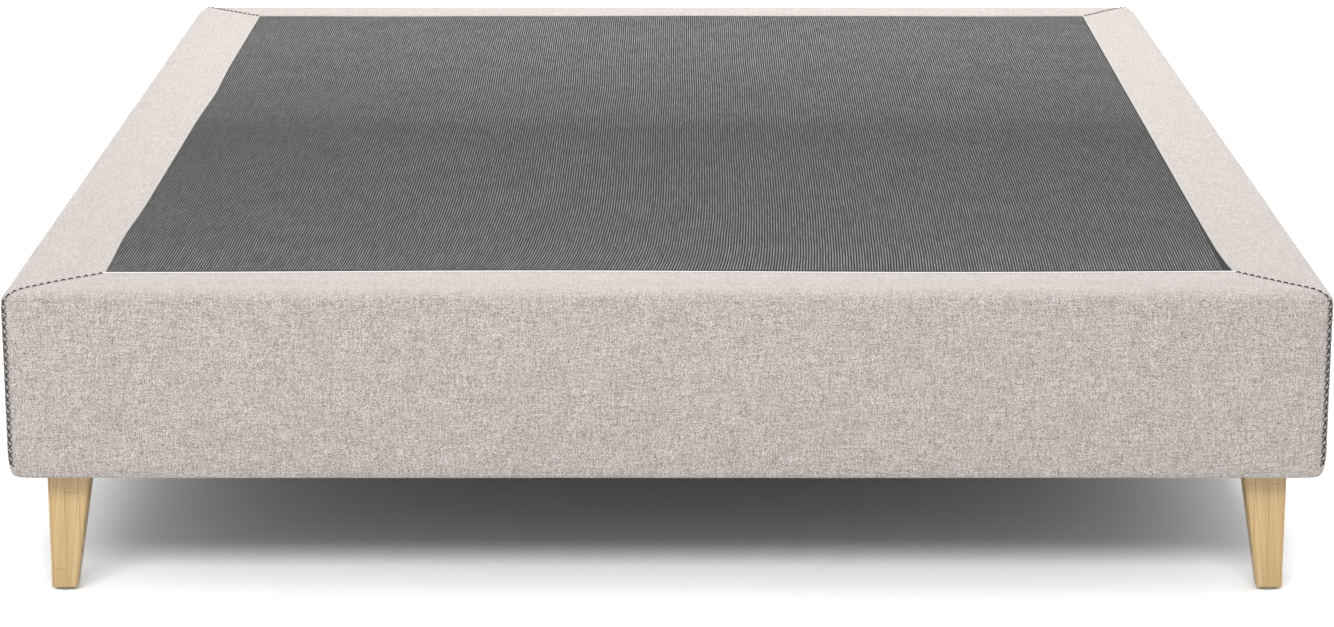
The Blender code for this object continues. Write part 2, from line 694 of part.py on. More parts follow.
def make_middle_legs():
    """Under the beam: a steel plate, a bolt, a turned leg and a screwed levelling foot."""
    leg_low = FOOT_DISC_THICKNESS + FOOT_TRAVEL_UP + FOOT_STOP_CLEARANCE
    plate_low = BEAM_BOTTOM - SEAT_GAP - PLATE_THICKNESS
    leg_high = plate_low - SEAT_GAP
    bolt_hole = BOLT_RADIUS + BOLT_CLEARANCE
    stud_hole = STUD_RADIUS + STUD_CLEARANCE
    bolt_low = leg_high - BOLT_IN_LEG
    bolt_high = BEAM_BOTTOM + BOLT_IN_BLOCK
    stud_top = leg_low + FOOT_TRAVEL_DOWN + STUD_GRIP
    stud_hole_top = stud_top + FOOT_TRAVEL_UP + FOOT_STOP_CLEARANCE
    leg_profile = (
        (0, bolt_low - BOLT_HOLE_SPARE),
        (bolt_hole, bolt_low - BOLT_HOLE_SPARE),
        (bolt_hole, leg_high),
        (MIDDLE_LEG_TOP_RADIUS, leg_high),
        (MIDDLE_LEG_FOOT_RADIUS, leg_low),
        (stud_hole, leg_low),
        (stud_hole, stud_hole_top),
        (0, stud_hole_top),
    )
    foot_profile = (
        (0, stud_top),
        (STUD_RADIUS, stud_top),
        (STUD_RADIUS, FOOT_DISC_THICKNESS),
        (FOOT_DISC_RADIUS - FOOT_DISC_EDGE, FOOT_DISC_THICKNESS),
        (FOOT_DISC_RADIUS, FOOT_DISC_THICKNESS - FOOT_DISC_EDGE),
        (FOOT_DISC_RADIUS, FOOT_DISC_EDGE),
        (FOOT_DISC_RADIUS - FOOT_DISC_EDGE, 0),
        (0, 0),
    )
    plate_profile = (
        (bolt_hole, plate_low),
        (bolt_hole, plate_low + PLATE_THICKNESS),
        (MIDDLE_PLATE_RADIUS, plate_low + PLATE_THICKNESS),
        (MIDDLE_PLATE_RADIUS, plate_low),
        (bolt_hole, plate_low),
    )
    holes = []
    for end, side in (("foot_end", -1), ("head_end", 1)):
        axis = guide("axis_" + end, (0, side * MIDDLE_LEG_SPACING / 2, 0))
        turned("middle_leg_" + end, leg_profile, LEG_WOOD, (0, 0, 0), axis)
        turned("middle_plate_" + end, plate_profile, ZINC_STEEL, (0, 0, 0), axis)
        bolt = bolt_profile(bolt_low, bolt_high)
        turned("middle_bolt_" + end, bolt, ZINC_STEEL, (0, 0, 0), axis)
        turned("levelling_foot_" + end, foot_profile, BLACK_PLASTIC, (0, 0, 0), axis)
        top = bolt_high + BOLT_HOLE_SPARE
        bottom = plate_low - CUT_OVERRUN
        cut(BEAM, cutter("beam_hole_" + end, bolt_hole, bottom, top, (0, 0, 0), axis))
        radius = middle_leg_radius(BASE_BOTTOM, leg_low, leg_high) + DUST_COVER_HOLE_CLEARANCE
        low = DUST_COVER_BOTTOM - CUT_OVERRUN
        high = BASE_BOTTOM + CUT_OVERRUN
        holes.append(cutter("cloth_hole_" + end, radius, low, high, (0, 0, 0), axis))
    return holes


def make_dust_cover(holes):
    """A thin cloth under the frame, cut out round the middle legs and pierced by the bolts."""
    size = (
        BED_WIDTH - 2 * DUST_COVER_INSET,
        BED_LENGTH - 2 * DUST_COVER_INSET,
        DUST_COVER_THICKNESS,
    )
    location = (0, 0, DUST_COVER_BOTTOM + DUST_COVER_THICKNESS / 2)
    cloth = place("dust_cover", block_mesh("dust_cover", size), DUST_CLOTH, location)
    for corner in CORNERS:
        holes.append(bpy.data.objects["bolt_hole_" + corner])
    for hole in holes:
        cut(cloth, hole)


make_cover()
make_top_pad()
make_side_foam()
make_decks()
make_rails()
make_bearers()
BEAM = make_centre_beam()
make_corner_supports()
make_dust_cover(make_middle_legs())
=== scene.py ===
"""The looks of an upholstered bed base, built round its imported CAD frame."""

import math

import bmesh
import bpy
import numpy as np
from mathutils import Color, Matrix, Vector, noise


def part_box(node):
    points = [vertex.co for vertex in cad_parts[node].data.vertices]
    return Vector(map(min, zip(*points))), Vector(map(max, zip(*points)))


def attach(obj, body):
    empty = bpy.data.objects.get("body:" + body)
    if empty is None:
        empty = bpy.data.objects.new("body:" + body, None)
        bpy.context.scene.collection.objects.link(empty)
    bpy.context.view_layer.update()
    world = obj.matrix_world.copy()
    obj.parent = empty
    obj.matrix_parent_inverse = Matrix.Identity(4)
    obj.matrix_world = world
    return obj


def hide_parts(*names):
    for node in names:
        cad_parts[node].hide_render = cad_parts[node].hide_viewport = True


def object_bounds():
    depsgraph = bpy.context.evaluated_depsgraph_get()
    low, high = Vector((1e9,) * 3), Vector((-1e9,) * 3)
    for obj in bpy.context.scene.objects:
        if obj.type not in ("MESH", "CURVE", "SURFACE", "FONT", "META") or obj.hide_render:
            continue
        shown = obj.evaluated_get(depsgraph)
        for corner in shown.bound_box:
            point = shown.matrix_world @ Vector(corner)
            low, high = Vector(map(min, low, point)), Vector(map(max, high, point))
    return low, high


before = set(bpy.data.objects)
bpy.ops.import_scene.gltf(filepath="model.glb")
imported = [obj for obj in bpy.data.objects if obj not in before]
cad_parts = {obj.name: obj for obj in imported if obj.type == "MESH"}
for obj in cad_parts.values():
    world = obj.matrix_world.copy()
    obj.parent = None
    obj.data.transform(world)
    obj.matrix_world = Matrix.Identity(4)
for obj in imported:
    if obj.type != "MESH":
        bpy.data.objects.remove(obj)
cad_low, cad_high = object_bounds()
bpy.ops.object.select_all(action="DESELECT")


# Felt glides
# Under each corner leg sits a disc of pale grey wool felt, glued on, so that the leg
# doesn't scratch the floor. Its cut edge is a little soft.

CORNERS = {"front_left": (-1, -1), "front_right": (1, -1), "back_left": (-1, 1), "back_right": (1, 1)}
GLIDE_EDGE = 0.0006
GLIDE_SIDES = 40
LIGHT_SHARE = 0.487
SMOOTH_ANGLE = math.radians(32)
TINY = 1e-4


class Value:
    """A shader socket that takes part in plain sums, which become Math nodes."""

    def __init__(self, finish, socket):
        self.finish = finish
        self.socket = socket

    def __add__(self, other):
        return self.finish.maths("ADD", self, other)

    def __radd__(self, other):
        return self.finish.maths("ADD", other, self)

    def __sub__(self, other):
        return self.finish.maths("SUBTRACT", self, other)

    def __rsub__(self, other):
        return self.finish.maths("SUBTRACT", other, self)

    def __mul__(self, other):
        return self.finish.maths("MULTIPLY", self, other)

    def __truediv__(self, other):
        return self.finish.maths("DIVIDE", self, other)

    def output(self, name):
        """Another output of the node that this value comes from."""
        return Value(self.finish, self.socket.node.outputs[name])


class Finish:
    """A material whose shader is built node by node; constants go on its own sockets."""

    def __init__(self, name, constants):
        self.material = bpy.data.materials.new(name)
        self.material.use_nodes = True
        self.tree = self.material.node_tree
        self.shader = self.tree.nodes["Principled BSDF"]
        for socket, value in constants.items():
            self.shader.inputs[socket].default_value = value

    def node(self, kind, settings=None, inputs=None, output=0):
        made = self.tree.nodes.new(kind)
        for name, value in (settings or {}).items():
            if name == "stops":
                self.set_stops(made.color_ramp, value)
            else:
                setattr(made, name, value)
        for name, value in (inputs or {}).items():
            if isinstance(value, Value):
                self.tree.links.new(value.socket, made.inputs[name])
            else:
                made.inputs[name].default_value = value
        return Value(self, made.outputs[output])

    def set_stops(self, ramp, stops):
        first, *middle, last = stops
        ramp.elements[0].position, ramp.elements[0].color = first
        ramp.elements[1].position, ramp.elements[1].color = last
        for position, colour in middle:
            ramp.elements.new(position).color = colour

    def maths(self, operation, *values):
        return self.node("ShaderNodeMath", {"operation": operation}, dict(enumerate(values)))

    def wave(self, value, pitch):
        """From 0 to 1 and back over each pitch."""
        return self.maths("SINE", value * (2 * math.pi / pitch)) * 0.5 + 0.5

    def limited(self, value, low, high):
        """0 below low, 1 above high, and a soft step between them."""
        settings = {"interpolation_type": "SMOOTHSTEP"}
        return self.node("ShaderNodeMapRange", settings, {"Value": value, "From Min": low, "From Max": high})

    def place(self):
        return self.node("ShaderNodeTexCoord", output="Object")

    def split(self, vector):
        x = self.node("ShaderNodeSeparateXYZ", inputs={"Vector": vector})
        return x, x.output("Y"), x.output("Z")

    def joined(self, x, y, z=0.0):
        return self.node("ShaderNodeCombineXYZ", inputs={"X": x, "Y": y, "Z": z})

    def noise(self, place, size=(1.0, 1.0, 1.0), detail=2.0):
        """Noise round 0.5, with blobs of the size given along each axis."""
        scale = tuple(1 / length for length in size)
        moved = self.node("ShaderNodeVectorMath", {"operation": "MULTIPLY"}, {0: place, 1: scale})
        return self.node("ShaderNodeTexNoise", inputs={"Vector": moved, "Scale": 1.0, "Detail": detail})

    def ramp(self, value, *stops):
        return self.node("ShaderNodeValToRGB", {"stops": stops}, {"Fac": value})

    def mix(self, share, first, second, blend="MIX"):
        """Two colours mixed by a share; the Mix node keeps its colour sockets at 6 and 7."""
        settings = {"data_type": "RGBA", "blend_type": blend}
        return self.node("ShaderNodeMix", settings, {0: share, 6: first, 7: second}, output=2)

    def paint(self, colour):
        self.tree.links.new(colour.socket, self.shader.inputs["Base Color"])

    def roughen(self, value):
        self.tree.links.new(value.socket, self.shader.inputs["Roughness"])

    def emboss(self, height, depth):
        """Relief whose height runs from 0 to 1 over a depth in metres."""
        normal = self.node("ShaderNodeBump", inputs={"Height": height, "Distance": depth})
        self.tree.links.new(normal.socket, self.shader.inputs["Normal"])


def tone(red, green, blue):
    """A colour as it looks in the studio, from 0 to 255, made darker by the strength of the light."""
    seen = Color((red / 255, green / 255, blue / 255)).from_srgb_to_scene_linear()
    return (*(seen * LIGHT_SHARE), 1.0)


def edit(kind, wanted):
    """Opens the active piece in edit mode, with the wanted VERT, EDGE or FACE items selected."""
    bpy.ops.object.mode_set(mode="EDIT")
    bpy.ops.mesh.select_mode(type=kind)
    bpy.ops.mesh.select_all(action="DESELECT")
    shape = bmesh.from_edit_mesh(bpy.context.object.data)
    shape.normal_update()
    for item in {"VERT": shape.verts, "EDGE": shape.edges, "FACE": shape.faces}[kind]:
        if wanted(item):
            item.select_set(True)
    shape.select_flush_mode()
    bmesh.update_edit_mesh(bpy.context.object.data)


def leave_edit():
    bpy.ops.object.mode_set(mode="OBJECT")


def level(edge):
    return abs(edge.verts[0].co.z - edge.verts[1].co.z) < TINY


def round_off(radius, steps):
    """Rounds the selected edges."""
    bpy.ops.mesh.bevel(offset=radius, segments=steps, affect="EDGES")


def settle():
    """Moves the active piece's place and size into its mesh."""
    bpy.ops.object.transform_apply(location=True, rotation=True, scale=True)


def cylinder(sides, radius, bottom, top, centre):
    """An upright cylinder between two heights, with its place in its mesh."""
    place = (centre.x, centre.y, (bottom + top) / 2)
    bpy.ops.mesh.primitive_cylinder_add(vertices=sides, radius=radius, depth=top - bottom, location=place)
    settle()


def own(piece, name, finish, nodes, body):
    """Names a piece, gives it its finish, hangs it on its body and hides the CAD nodes it stands for."""
    piece.name = name
    piece.data.name = name
    piece.data.materials.clear()
    piece.data.materials.append(finish.material)
    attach(piece, body)
    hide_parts(*nodes)
    piece.select_set(False)
    return piece


def finished(name, finish, nodes, body="root"):
    """The active piece, with its place moved into its mesh and its faces smooth."""
    settle()
    bpy.ops.object.shade_smooth_by_angle(angle=SMOOTH_ANGLE)
    return own(bpy.context.object, name, finish, nodes, body)


def mirrored(piece, sign_x, sign_y, name, finish, nodes, body):
    """A copy of a front left piece in another place, with its own mesh."""
    copy = bpy.data.objects.new(name, piece.data.copy())
    copy.data.transform(Matrix.Diagonal((-sign_x, -sign_y, 1, 1)))
    if sign_x * sign_y < 0:
        copy.data.flip_normals()
    bpy.context.collection.objects.link(copy)
    own(copy, name, finish, nodes, body)


def at_each(places, start, finish, node_start=None, body_end=None):
    """Finishes the active piece, made for the first place, and mirrors it to the other places."""
    piece = None
    for place, (sign_x, sign_y) in places.items():
        nodes = [node_start + place] if node_start else []
        body = place + body_end if body_end else "root"
        if piece:
            mirrored(piece, sign_x, sign_y, start + place, finish, nodes, body)
        else:
            piece = finished(start + place, finish, nodes, body)


def felt_finish():
    """Pale grey felt with the fibres lying flat."""
    felt = Finish("felt", {"Roughness": 1.0, "Sheen Weight": 0.3, "Sheen Roughness": 0.5})
    fibres = felt.noise(felt.place(), (0.0012, 0.0004, 0.0006), detail=4.0)
    felt.paint(
        felt.ramp(fibres, (0.3, tone(132, 128, 122)), (0.55, tone(172, 168, 161)), (0.8, tone(206, 202, 196)))
    )
    felt.emboss(fibres, 0.0004)
    return felt


glide_low, glide_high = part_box("glide_front_left")
glide_radius = (glide_high.x - glide_low.x) / 2
cylinder(GLIDE_SIDES, glide_radius, glide_low.z, glide_high.z, (glide_low + glide_high) / 2)
edit("EDGE", level)
round_off(GLIDE_EDGE, 2)
leave_edit()
at_each(CORNERS, "glide_disc_", felt_finish(), "glide_")


# Corner legs
# Each leg is sawn from finger-jointed strips of light hardwood glued side by side. It is
# square to the bed outside, tapers on its two inner faces, and has sanded edges and a satin
# clear lacquer. A hanger bolt screws it to the steel plate in the frame.

LEG_FOOT_SIZE = (0.031, 0.025)
LEG_EDGE_RADIUS = 0.0028
STRIP_WIDTH = 0.0175
STRIP_LENGTH = 0.235
STRIP_STAGGER = 0.11
GLUE_LINE = 0.00045
GLUE_LINE_PLACE = (0.0017, 0.002)
GRAIN_LEAN = 0.10
GRAIN_BEND = 0.003
FACING = 0.99


def leg_wood_finish():
    """Straight pale grain up the leg, with the glue lines and tints of its strips."""
    wood = Finish("leg_wood", {"Roughness": 0.42, "Coat Weight": 0.08, "Coat Roughness": 0.3})
    place = wood.place()
    x, y, z = wood.split(place)
    sideways = wood.maths("ABSOLUTE", x)
    bend = wood.noise(place, (0.04, 0.04, 0.25)) * GRAIN_BEND
    across = sideways + y * 0.4 + bend + z * GRAIN_LEAN
    grain = wood.noise(wood.joined(across, y * 0.3, z), (0.0011, 0.005, 0.16), detail=3.0)
    bands = wood.noise(wood.joined(across, y * 0.1, z), (0.0060, 0.03, 1.2), detail=1.0)
    pores = wood.noise(place, (0.0004, 0.0004, 0.006), detail=1.0)
    share = grain * 0.55 + bands * 0.45
    colour = wood.ramp(
        share, (0.36, tone(203, 163, 104)), (0.5, tone(221, 186, 128)), (0.64, tone(238, 210, 158))
    )
    strip_run = z + wood.maths("LESS_THAN", x, 0.0) * STRIP_STAGGER - GLUE_LINE_PLACE[0]
    brick = wood.node(
        "ShaderNodeTexBrick",
        {"offset": 0.42, "squash": 1.0},
        {
            "Vector": wood.joined(strip_run, sideways - GLUE_LINE_PLACE[1]),
            "Color1": (0.95, 0.94, 0.92, 1.0),
            "Color2": (1.0, 1.0, 1.0, 1.0),
            "Mortar": (0.62, 0.50, 0.36, 1.0),
            "Scale": 1.0,
            "Mortar Size": GLUE_LINE,
            "Mortar Smooth": 0.3,
            "Brick Width": STRIP_LENGTH,
            "Row Height": STRIP_WIDTH,
        },
    )
    colour = wood.mix(0.8, colour, brick, "MULTIPLY")
    fleck = wood.limited(pores, 0.62, 0.75)
    wood.paint(wood.mix(fleck * 0.25, colour, tone(168, 122, 76)))
    wood.roughen(0.38 + grain * 0.16)
    wood.emboss(grain * 0.7 + pores * 0.3, 0.00012)
    return wood


def middle(item):
    """The middle of an edge or face."""
    return sum((vert.co for vert in item.verts), Vector()) / len(item.verts)


leg_wood = leg_wood_finish()
leg_low, leg_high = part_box("leg_front_left")
leg_size = leg_high - leg_low
bpy.ops.mesh.primitive_cube_add(size=1, location=(leg_low + leg_high) / 2, scale=leg_size)
settle()
edit("FACE", lambda face: face.normal.z < -FACING)
taper = (LEG_FOOT_SIZE[0] / leg_size.x, LEG_FOOT_SIZE[1] / leg_size.y, 1)
bpy.ops.transform.resize(value=taper, center_override=leg_low)
edit("EDGE", lambda edge: middle(edge).z < leg_high.z - LEG_EDGE_RADIUS)
round_off(LEG_EDGE_RADIUS, 4)
leave_edit()
at_each(CORNERS, "wooden_leg_", leg_wood, "leg_")


# Middle legs and levelling feet
# Two legs turned from the same wood stand under the centre beam, out of sight. Each has a
# black moulded foot on a zinc-plated threaded stud, which is screwed in or out until the
# foot meets the floor.

ENDS = {"foot_end": (-1, -1), "head_end": (-1, 1)}
STEM_FOOT_RADIUS = 0.018
STEM_EDGE = 0.002
THREAD_PITCH = 0.0015
THREAD_DEPTH = 0.0009
STUD_RADIUS = 0.005
STUD_GAP = 0.0003
STUD_HOLE_SPARE = 0.008
STUD_SIDES = 24
DISC_HEIGHT = 0.006
DISC_EDGE = 0.0015
NECK_RADIUS = 0.0095
NECK_HEIGHT = 0.0015
TURNED_SIDES = 48


def steel_finish():
    """Bright zinc plating with faint spangle."""
    steel = Finish("zinc_steel", {"Metallic": 1.0, "Roughness": 0.34})
    place = steel.place()
    spangle = steel.noise(place, (0.006, 0.006, 0.006), detail=3.0)
    scratches = steel.noise(place, (0.0006, 0.012, 0.0006), detail=2.0)
    steel.paint(steel.ramp(spangle, (0.3, tone(158, 160, 162)), (0.7, tone(206, 207, 206))))
    steel.roughen(0.26 + spangle * 0.18)
    steel.emboss(scratches, 0.00004)
    return steel


def plastic_finish():
    """Black moulded plastic with a fine spark-eroded grain."""
    plastic = Finish("foot_plastic", {"Roughness": 0.5})
    grain = plastic.noise(plastic.place(), (0.0006, 0.0006, 0.0006), detail=3.0)
    plastic.paint(plastic.ramp(grain, (0.3, tone(26, 26, 28)), (0.75, tone(48, 48, 50))))
    plastic.roughen(0.42 + grain * 0.2)
    plastic.emboss(grain, 0.00012)
    return plastic


def extrude(height):
    """Draws the selected faces up by a height, or down."""
    bpy.ops.mesh.extrude_region_move(TRANSFORM_OT_translate={"value": (0, 0, height)})


def upright(edge):
    return abs(edge.verts[0].co.z - edge.verts[1].co.z) > FACING * edge.calc_length()


zinc_steel = steel_finish()
foot_plastic = plastic_finish()
stem_low, stem_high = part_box("middle_leg_foot_end")
foot_low, foot_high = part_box("levelling_foot_foot_end")
foot_radius = (foot_high.x - foot_low.x) / 2
foot_centre = (foot_low + foot_high) / 2

bpy.ops.mesh.primitive_cone_add(
    vertices=TURNED_SIDES,
    radius1=STEM_FOOT_RADIUS,
    radius2=(stem_high.x - stem_low.x) / 2,
    depth=stem_high.z - stem_low.z,
    location=(stem_low + stem_high) / 2,
)
settle()
edit("EDGE", lambda edge: all(v.co.z < stem_low.z + TINY for v in edge.verts))
round_off(STEM_EDGE, 3)
edit("FACE", lambda face: face.normal.z < -FACING)
bpy.ops.mesh.inset(thickness=STEM_FOOT_RADIUS - STEM_EDGE - STUD_RADIUS - STUD_GAP)
extrude(foot_high.z + STUD_HOLE_SPARE - stem_low.z)
leave_edit()
at_each(ENDS, "turned_leg_", leg_wood, "middle_leg_")

cylinder(TURNED_SIDES, foot_radius, foot_low.z, foot_low.z + DISC_HEIGHT, foot_centre)
edit("EDGE", level)
round_off(DISC_EDGE, 4)
edit("FACE", lambda face: face.normal.z > FACING)
bpy.ops.mesh.inset(thickness=foot_radius - DISC_EDGE - NECK_RADIUS)
extrude(NECK_HEIGHT)
leave_edit()
at_each(ENDS, "foot_disc_", foot_plastic, "levelling_foot_", "_levelling_foot")

stud_bottom = foot_low.z + DISC_HEIGHT / 2
stud_length = foot_high.z - stud_bottom
stud_turns = round(stud_length / THREAD_PITCH)
cylinder(STUD_SIDES, STUD_RADIUS, stud_bottom, foot_high.z, foot_centre)
edit("EDGE", upright)
bpy.ops.mesh.subdivide(number_cuts=2 * stud_turns - 1)
step = stud_length / (2 * stud_turns)
edit("VERT", lambda vert: round((vert.co.z - stud_bottom) / step) % 2 == 0)
narrow = 1 - THREAD_DEPTH / STUD_RADIUS
bpy.ops.transform.resize(value=(narrow, narrow, 1), center_override=foot_centre)
leave_edit()
at_each(ENDS, "foot_stud_", zinc_steel, body_end="_levelling_foot")


# Steel plates, hanger bolts and beam hangers
# Zinc-plated pressings and bolts join the legs to the frame and carry the beam's two ends.
# The CAD pieces have the right shapes, so they only get their finish.


def refinish(finish, *starts):
    """Gives a finish to the CAD pieces whose names start in one of these ways."""
    for name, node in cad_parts.items():
        if name.startswith(starts):
            node.material_slots[0].material = finish.material


refinish(zinc_steel, "leg_plate_", "leg_bolt_", "middle_plate_", "middle_bolt_", "beam_hanger_")


# Timber frame
# Rails, bearers, cleats, the centre beam and the corner blocks are planed softwood, glued
# and screwed together inside the cover. The grain runs along each piece.

RING_PITCH = 0.0075
RING_DRIFT = 0.05
KNOT_SPACING = (0.12, 0.12, 0.45)
KNOT_EDGE = (0.05, 0.09)


def timber_finish(name, order, *starts):
    """Planed softwood for some pieces; order says which axes run across, through and along the grain."""
    timber = Finish(name, {"Roughness": 0.6})
    axes = timber.split(timber.place())
    across, through, along = (axes[index] for index in order)
    turned = timber.joined(across, through, along)
    drift = timber.noise(turned, (0.10, 0.10, 0.45)) * RING_DRIFT
    rings = timber.wave(across + through * 0.6 + drift, RING_PITCH)
    fibre = timber.noise(turned, (0.0010, 0.0010, 0.05), detail=4.0)
    cells = timber.joined(*(axis / spacing for axis, spacing in zip((across, through, along), KNOT_SPACING)))
    knots = timber.node("ShaderNodeTexVoronoi", {"feature": "F1"}, {"Vector": cells, "Scale": 1.0})
    share = rings * 0.45 + fibre * 0.55
    colour = timber.ramp(
        share, (0.2, tone(238, 214, 172)), (0.55, tone(226, 194, 146)), (0.85, tone(200, 158, 106))
    )
    knot = 1.0 - timber.limited(knots, *KNOT_EDGE)
    timber.paint(timber.mix(knot * 0.8, colour, tone(122, 80, 48)))
    timber.roughen(0.52 + fibre * 0.2)
    timber.emboss(share, 0.00025)
    refinish(timber, *starts)


timber_finish("timber_across_bed", (1, 2, 0), "foot_rail", "head_rail", "cross_bearer_")
timber_finish("timber_along_bed", (0, 2, 1), "side_rail_", "bearer_cleat_", "centre_beam")
timber_finish("timber_upright", (0, 1, 2), "corner_block_")


# Deck boards
# Two sheets of 12 mm plywood lie on the frame and meet over the middle bearer. They are
# screwed down through their faces, and the foam pad is glued on top.

PLY_COUNT = 9
VENEER_RINGS = 0.055
SCREWED_BEARERS = (1, 2, 4, 5)
SCREW_SIDES = 12
SCREW_HEAD_RADIUS = 0.004
SCREW_HEAD_DEPTH = 0.001
SCREW_HEAD_PROUD = 0.00005
SCREW_DRIVE_RADIUS = 0.0014
SCREW_DRIVE_DEPTH = 0.0006
SCREW_SPACING = 0.24


def plywood_finish():
    """Rotary-cut face veneer, and the dark and light plies of the edges."""
    plywood = Finish("deck_board", {"Roughness": 0.55})
    place = plywood.place()
    x, y, z = plywood.split(place)
    drift = plywood.noise(place, (0.25, 0.06, 1.0), detail=3.0)
    rings = plywood.wave(y + drift * 0.5, VENEER_RINGS)
    fibre = plywood.noise(place, (0.05, 0.0012, 0.01), detail=3.0)
    low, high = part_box("deck_board_foot")
    plies = plywood.wave(z - low.z, 2 * (high.z - low.z) / PLY_COUNT)
    share = rings * 0.4 + fibre * 0.4 + plies * 0.2
    colour = plywood.ramp(
        share, (0.2, tone(224, 200, 160)), (0.5, tone(210, 180, 136)), (0.85, tone(184, 146, 100))
    )
    plywood.paint(colour)
    plywood.roughen(0.5 + fibre * 0.2)
    plywood.emboss(fibre, 0.0002)
    return plywood


def repeat(piece, places):
    """Fills a piece's mesh with a copy of itself at each place."""
    gathered = bmesh.new()
    for place in places:
        one = piece.data.copy()
        one.transform(place)
        gathered.from_mesh(one)
        bpy.data.meshes.remove(one)
    gathered.to_mesh(piece.data)
    gathered.free()


refinish(plywood_finish(), "deck_board_")
screw_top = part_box("deck_board_foot")[1].z + SCREW_HEAD_PROUD
rail_low, rail_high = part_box("side_rail_right")
rail_line = (rail_low.x + rail_high.x) / 2
screw_places = []
per_row = round(2 * rail_line / SCREW_SPACING)
for name in [*(f"cross_bearer_{index}" for index in SCREWED_BEARERS), "foot_rail", "head_rail"]:
    low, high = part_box(name)
    for x in np.linspace(-rail_line, rail_line, per_row + 1):
        screw_places.append(Matrix.Translation((x, (low.y + high.y) / 2, 0)))
cylinder(SCREW_SIDES, SCREW_HEAD_RADIUS, screw_top - SCREW_HEAD_DEPTH, screw_top, Vector())
edit("FACE", lambda face: face.normal.z > FACING)
bpy.ops.mesh.inset(thickness=SCREW_HEAD_RADIUS - SCREW_DRIVE_RADIUS)
extrude(-SCREW_DRIVE_DEPTH)
leave_edit()
repeat(bpy.context.object, screw_places)
finished("deck_screws", zinc_steel, [])


# Foam
# A 14 mm sheet of soft foam covers the deck and is a little thicker under the dark panel.
# One 8 mm strip of the same foam is wrapped round the four rails. Both are glued on.

FOAM_CORNER = 0.0177
FOAM_CORNER_STEPS = 6
STRIP_THICKNESS = 0.008
STRIP_EDGE = 0.0030
STRIP_EDGE_ANGLE = math.radians(50)
PANEL_HALVES = (0.694, 0.894)
PAD_EDGE_RINGS = ((0.0027, 0.0028), (0.0030, 0.0020), (0.0040, 0.0018), (0.0050, 0.0015), (0.0025, 0.0005))
PAD_CROWN_RINGS = ((0.0040, 0.0007), (0.0330, 0.0021), (0.0385, 0.0014), (0.0385, 0.0005))


def foam_finish():
    """Cream open-cell foam."""
    foam = Finish("foam", {"Roughness": 0.95})
    place = foam.place()
    cells = foam.node("ShaderNodeTexVoronoi", {"feature": "F1"}, {"Vector": place, "Scale": 900.0})
    patches = foam.noise(place, (0.05, 0.05, 0.05), detail=3.0)
    colour = foam.ramp(cells, (0.1, tone(206, 196, 168)), (0.6, tone(240, 234, 214)))
    foam.paint(foam.mix(patches * 0.3, colour, tone(228, 214, 178)))
    foam.emboss(cells, 0.0008)
    return foam


def modify(kind, **settings):
    """Adds a modifier to the active piece and applies it."""
    made = bpy.context.object.modifiers.new(kind.lower(), kind)
    for name, value in settings.items():
        setattr(made, name, value)
    bpy.ops.object.modifier_apply(modifier=made.name)


def foam_block(node):
    """A block the size of a CAD node, with its upright edges rounded, and the height of its top."""
    low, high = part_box(node)
    bpy.ops.mesh.primitive_cube_add(size=1, location=(low + high) / 2, scale=high - low)
    settle()
    edit("EDGE", upright)
    round_off(FOAM_CORNER, FOAM_CORNER_STEPS)
    return high.z


foam = foam_finish()
foam_block("side_foam")
edit("FACE", lambda face: abs(face.normal.z) > FACING)
bpy.ops.mesh.delete(type="FACE")
leave_edit()
modify("SOLIDIFY", thickness=STRIP_THICKNESS, offset=-1, use_even_offset=True)
modify("BEVEL", width=STRIP_EDGE, segments=3, limit_method="ANGLE", angle_limit=STRIP_EDGE_ANGLE)
side_foam = finished("foam_strip", foam, ["side_foam"])

pad_top = foam_block("top_pad")
lowered = sum(rise for _, rise in PAD_EDGE_RINGS + PAD_CROWN_RINGS)
edit("FACE", lambda face: face.normal.z > FACING)
bpy.ops.transform.translate(value=(0, 0, -lowered))
for inset, rise in PAD_EDGE_RINGS:
    bpy.ops.mesh.inset(thickness=inset)
    bpy.ops.transform.translate(value=(0, 0, rise))
border_level = pad_top - sum(rise for _, rise in PAD_CROWN_RINGS)
for axis, half in enumerate(PANEL_HALVES):
    for side in (-1, 1):
        edit("FACE", lambda face: middle(face).z > border_level - TINY)
        point = [0, 0, border_level]
        normal = [0, 0, 0]
        point[axis] = side * half
        normal[axis] = 1
        bpy.ops.mesh.bisect(plane_co=point, plane_no=normal)
edit("FACE", lambda face: middle(face).z > border_level - TINY and middle(face).xy.length < TINY)
for inset, rise in PAD_CROWN_RINGS:
    bpy.ops.mesh.inset(thickness=inset)
    bpy.ops.transform.translate(value=(0, 0, rise))
leave_edit()
top_pad = finished("foam_sheet", foam, ["top_pad"])


# Cover
# Four strips of light greige melange upholstery cloth, one for each side of the bed. Each
# is cut with mitred ends, and runs from the seam with the dark panel over the foam edge,
# down the side and under the rail, where it is stapled. The cloth is stretched smooth.

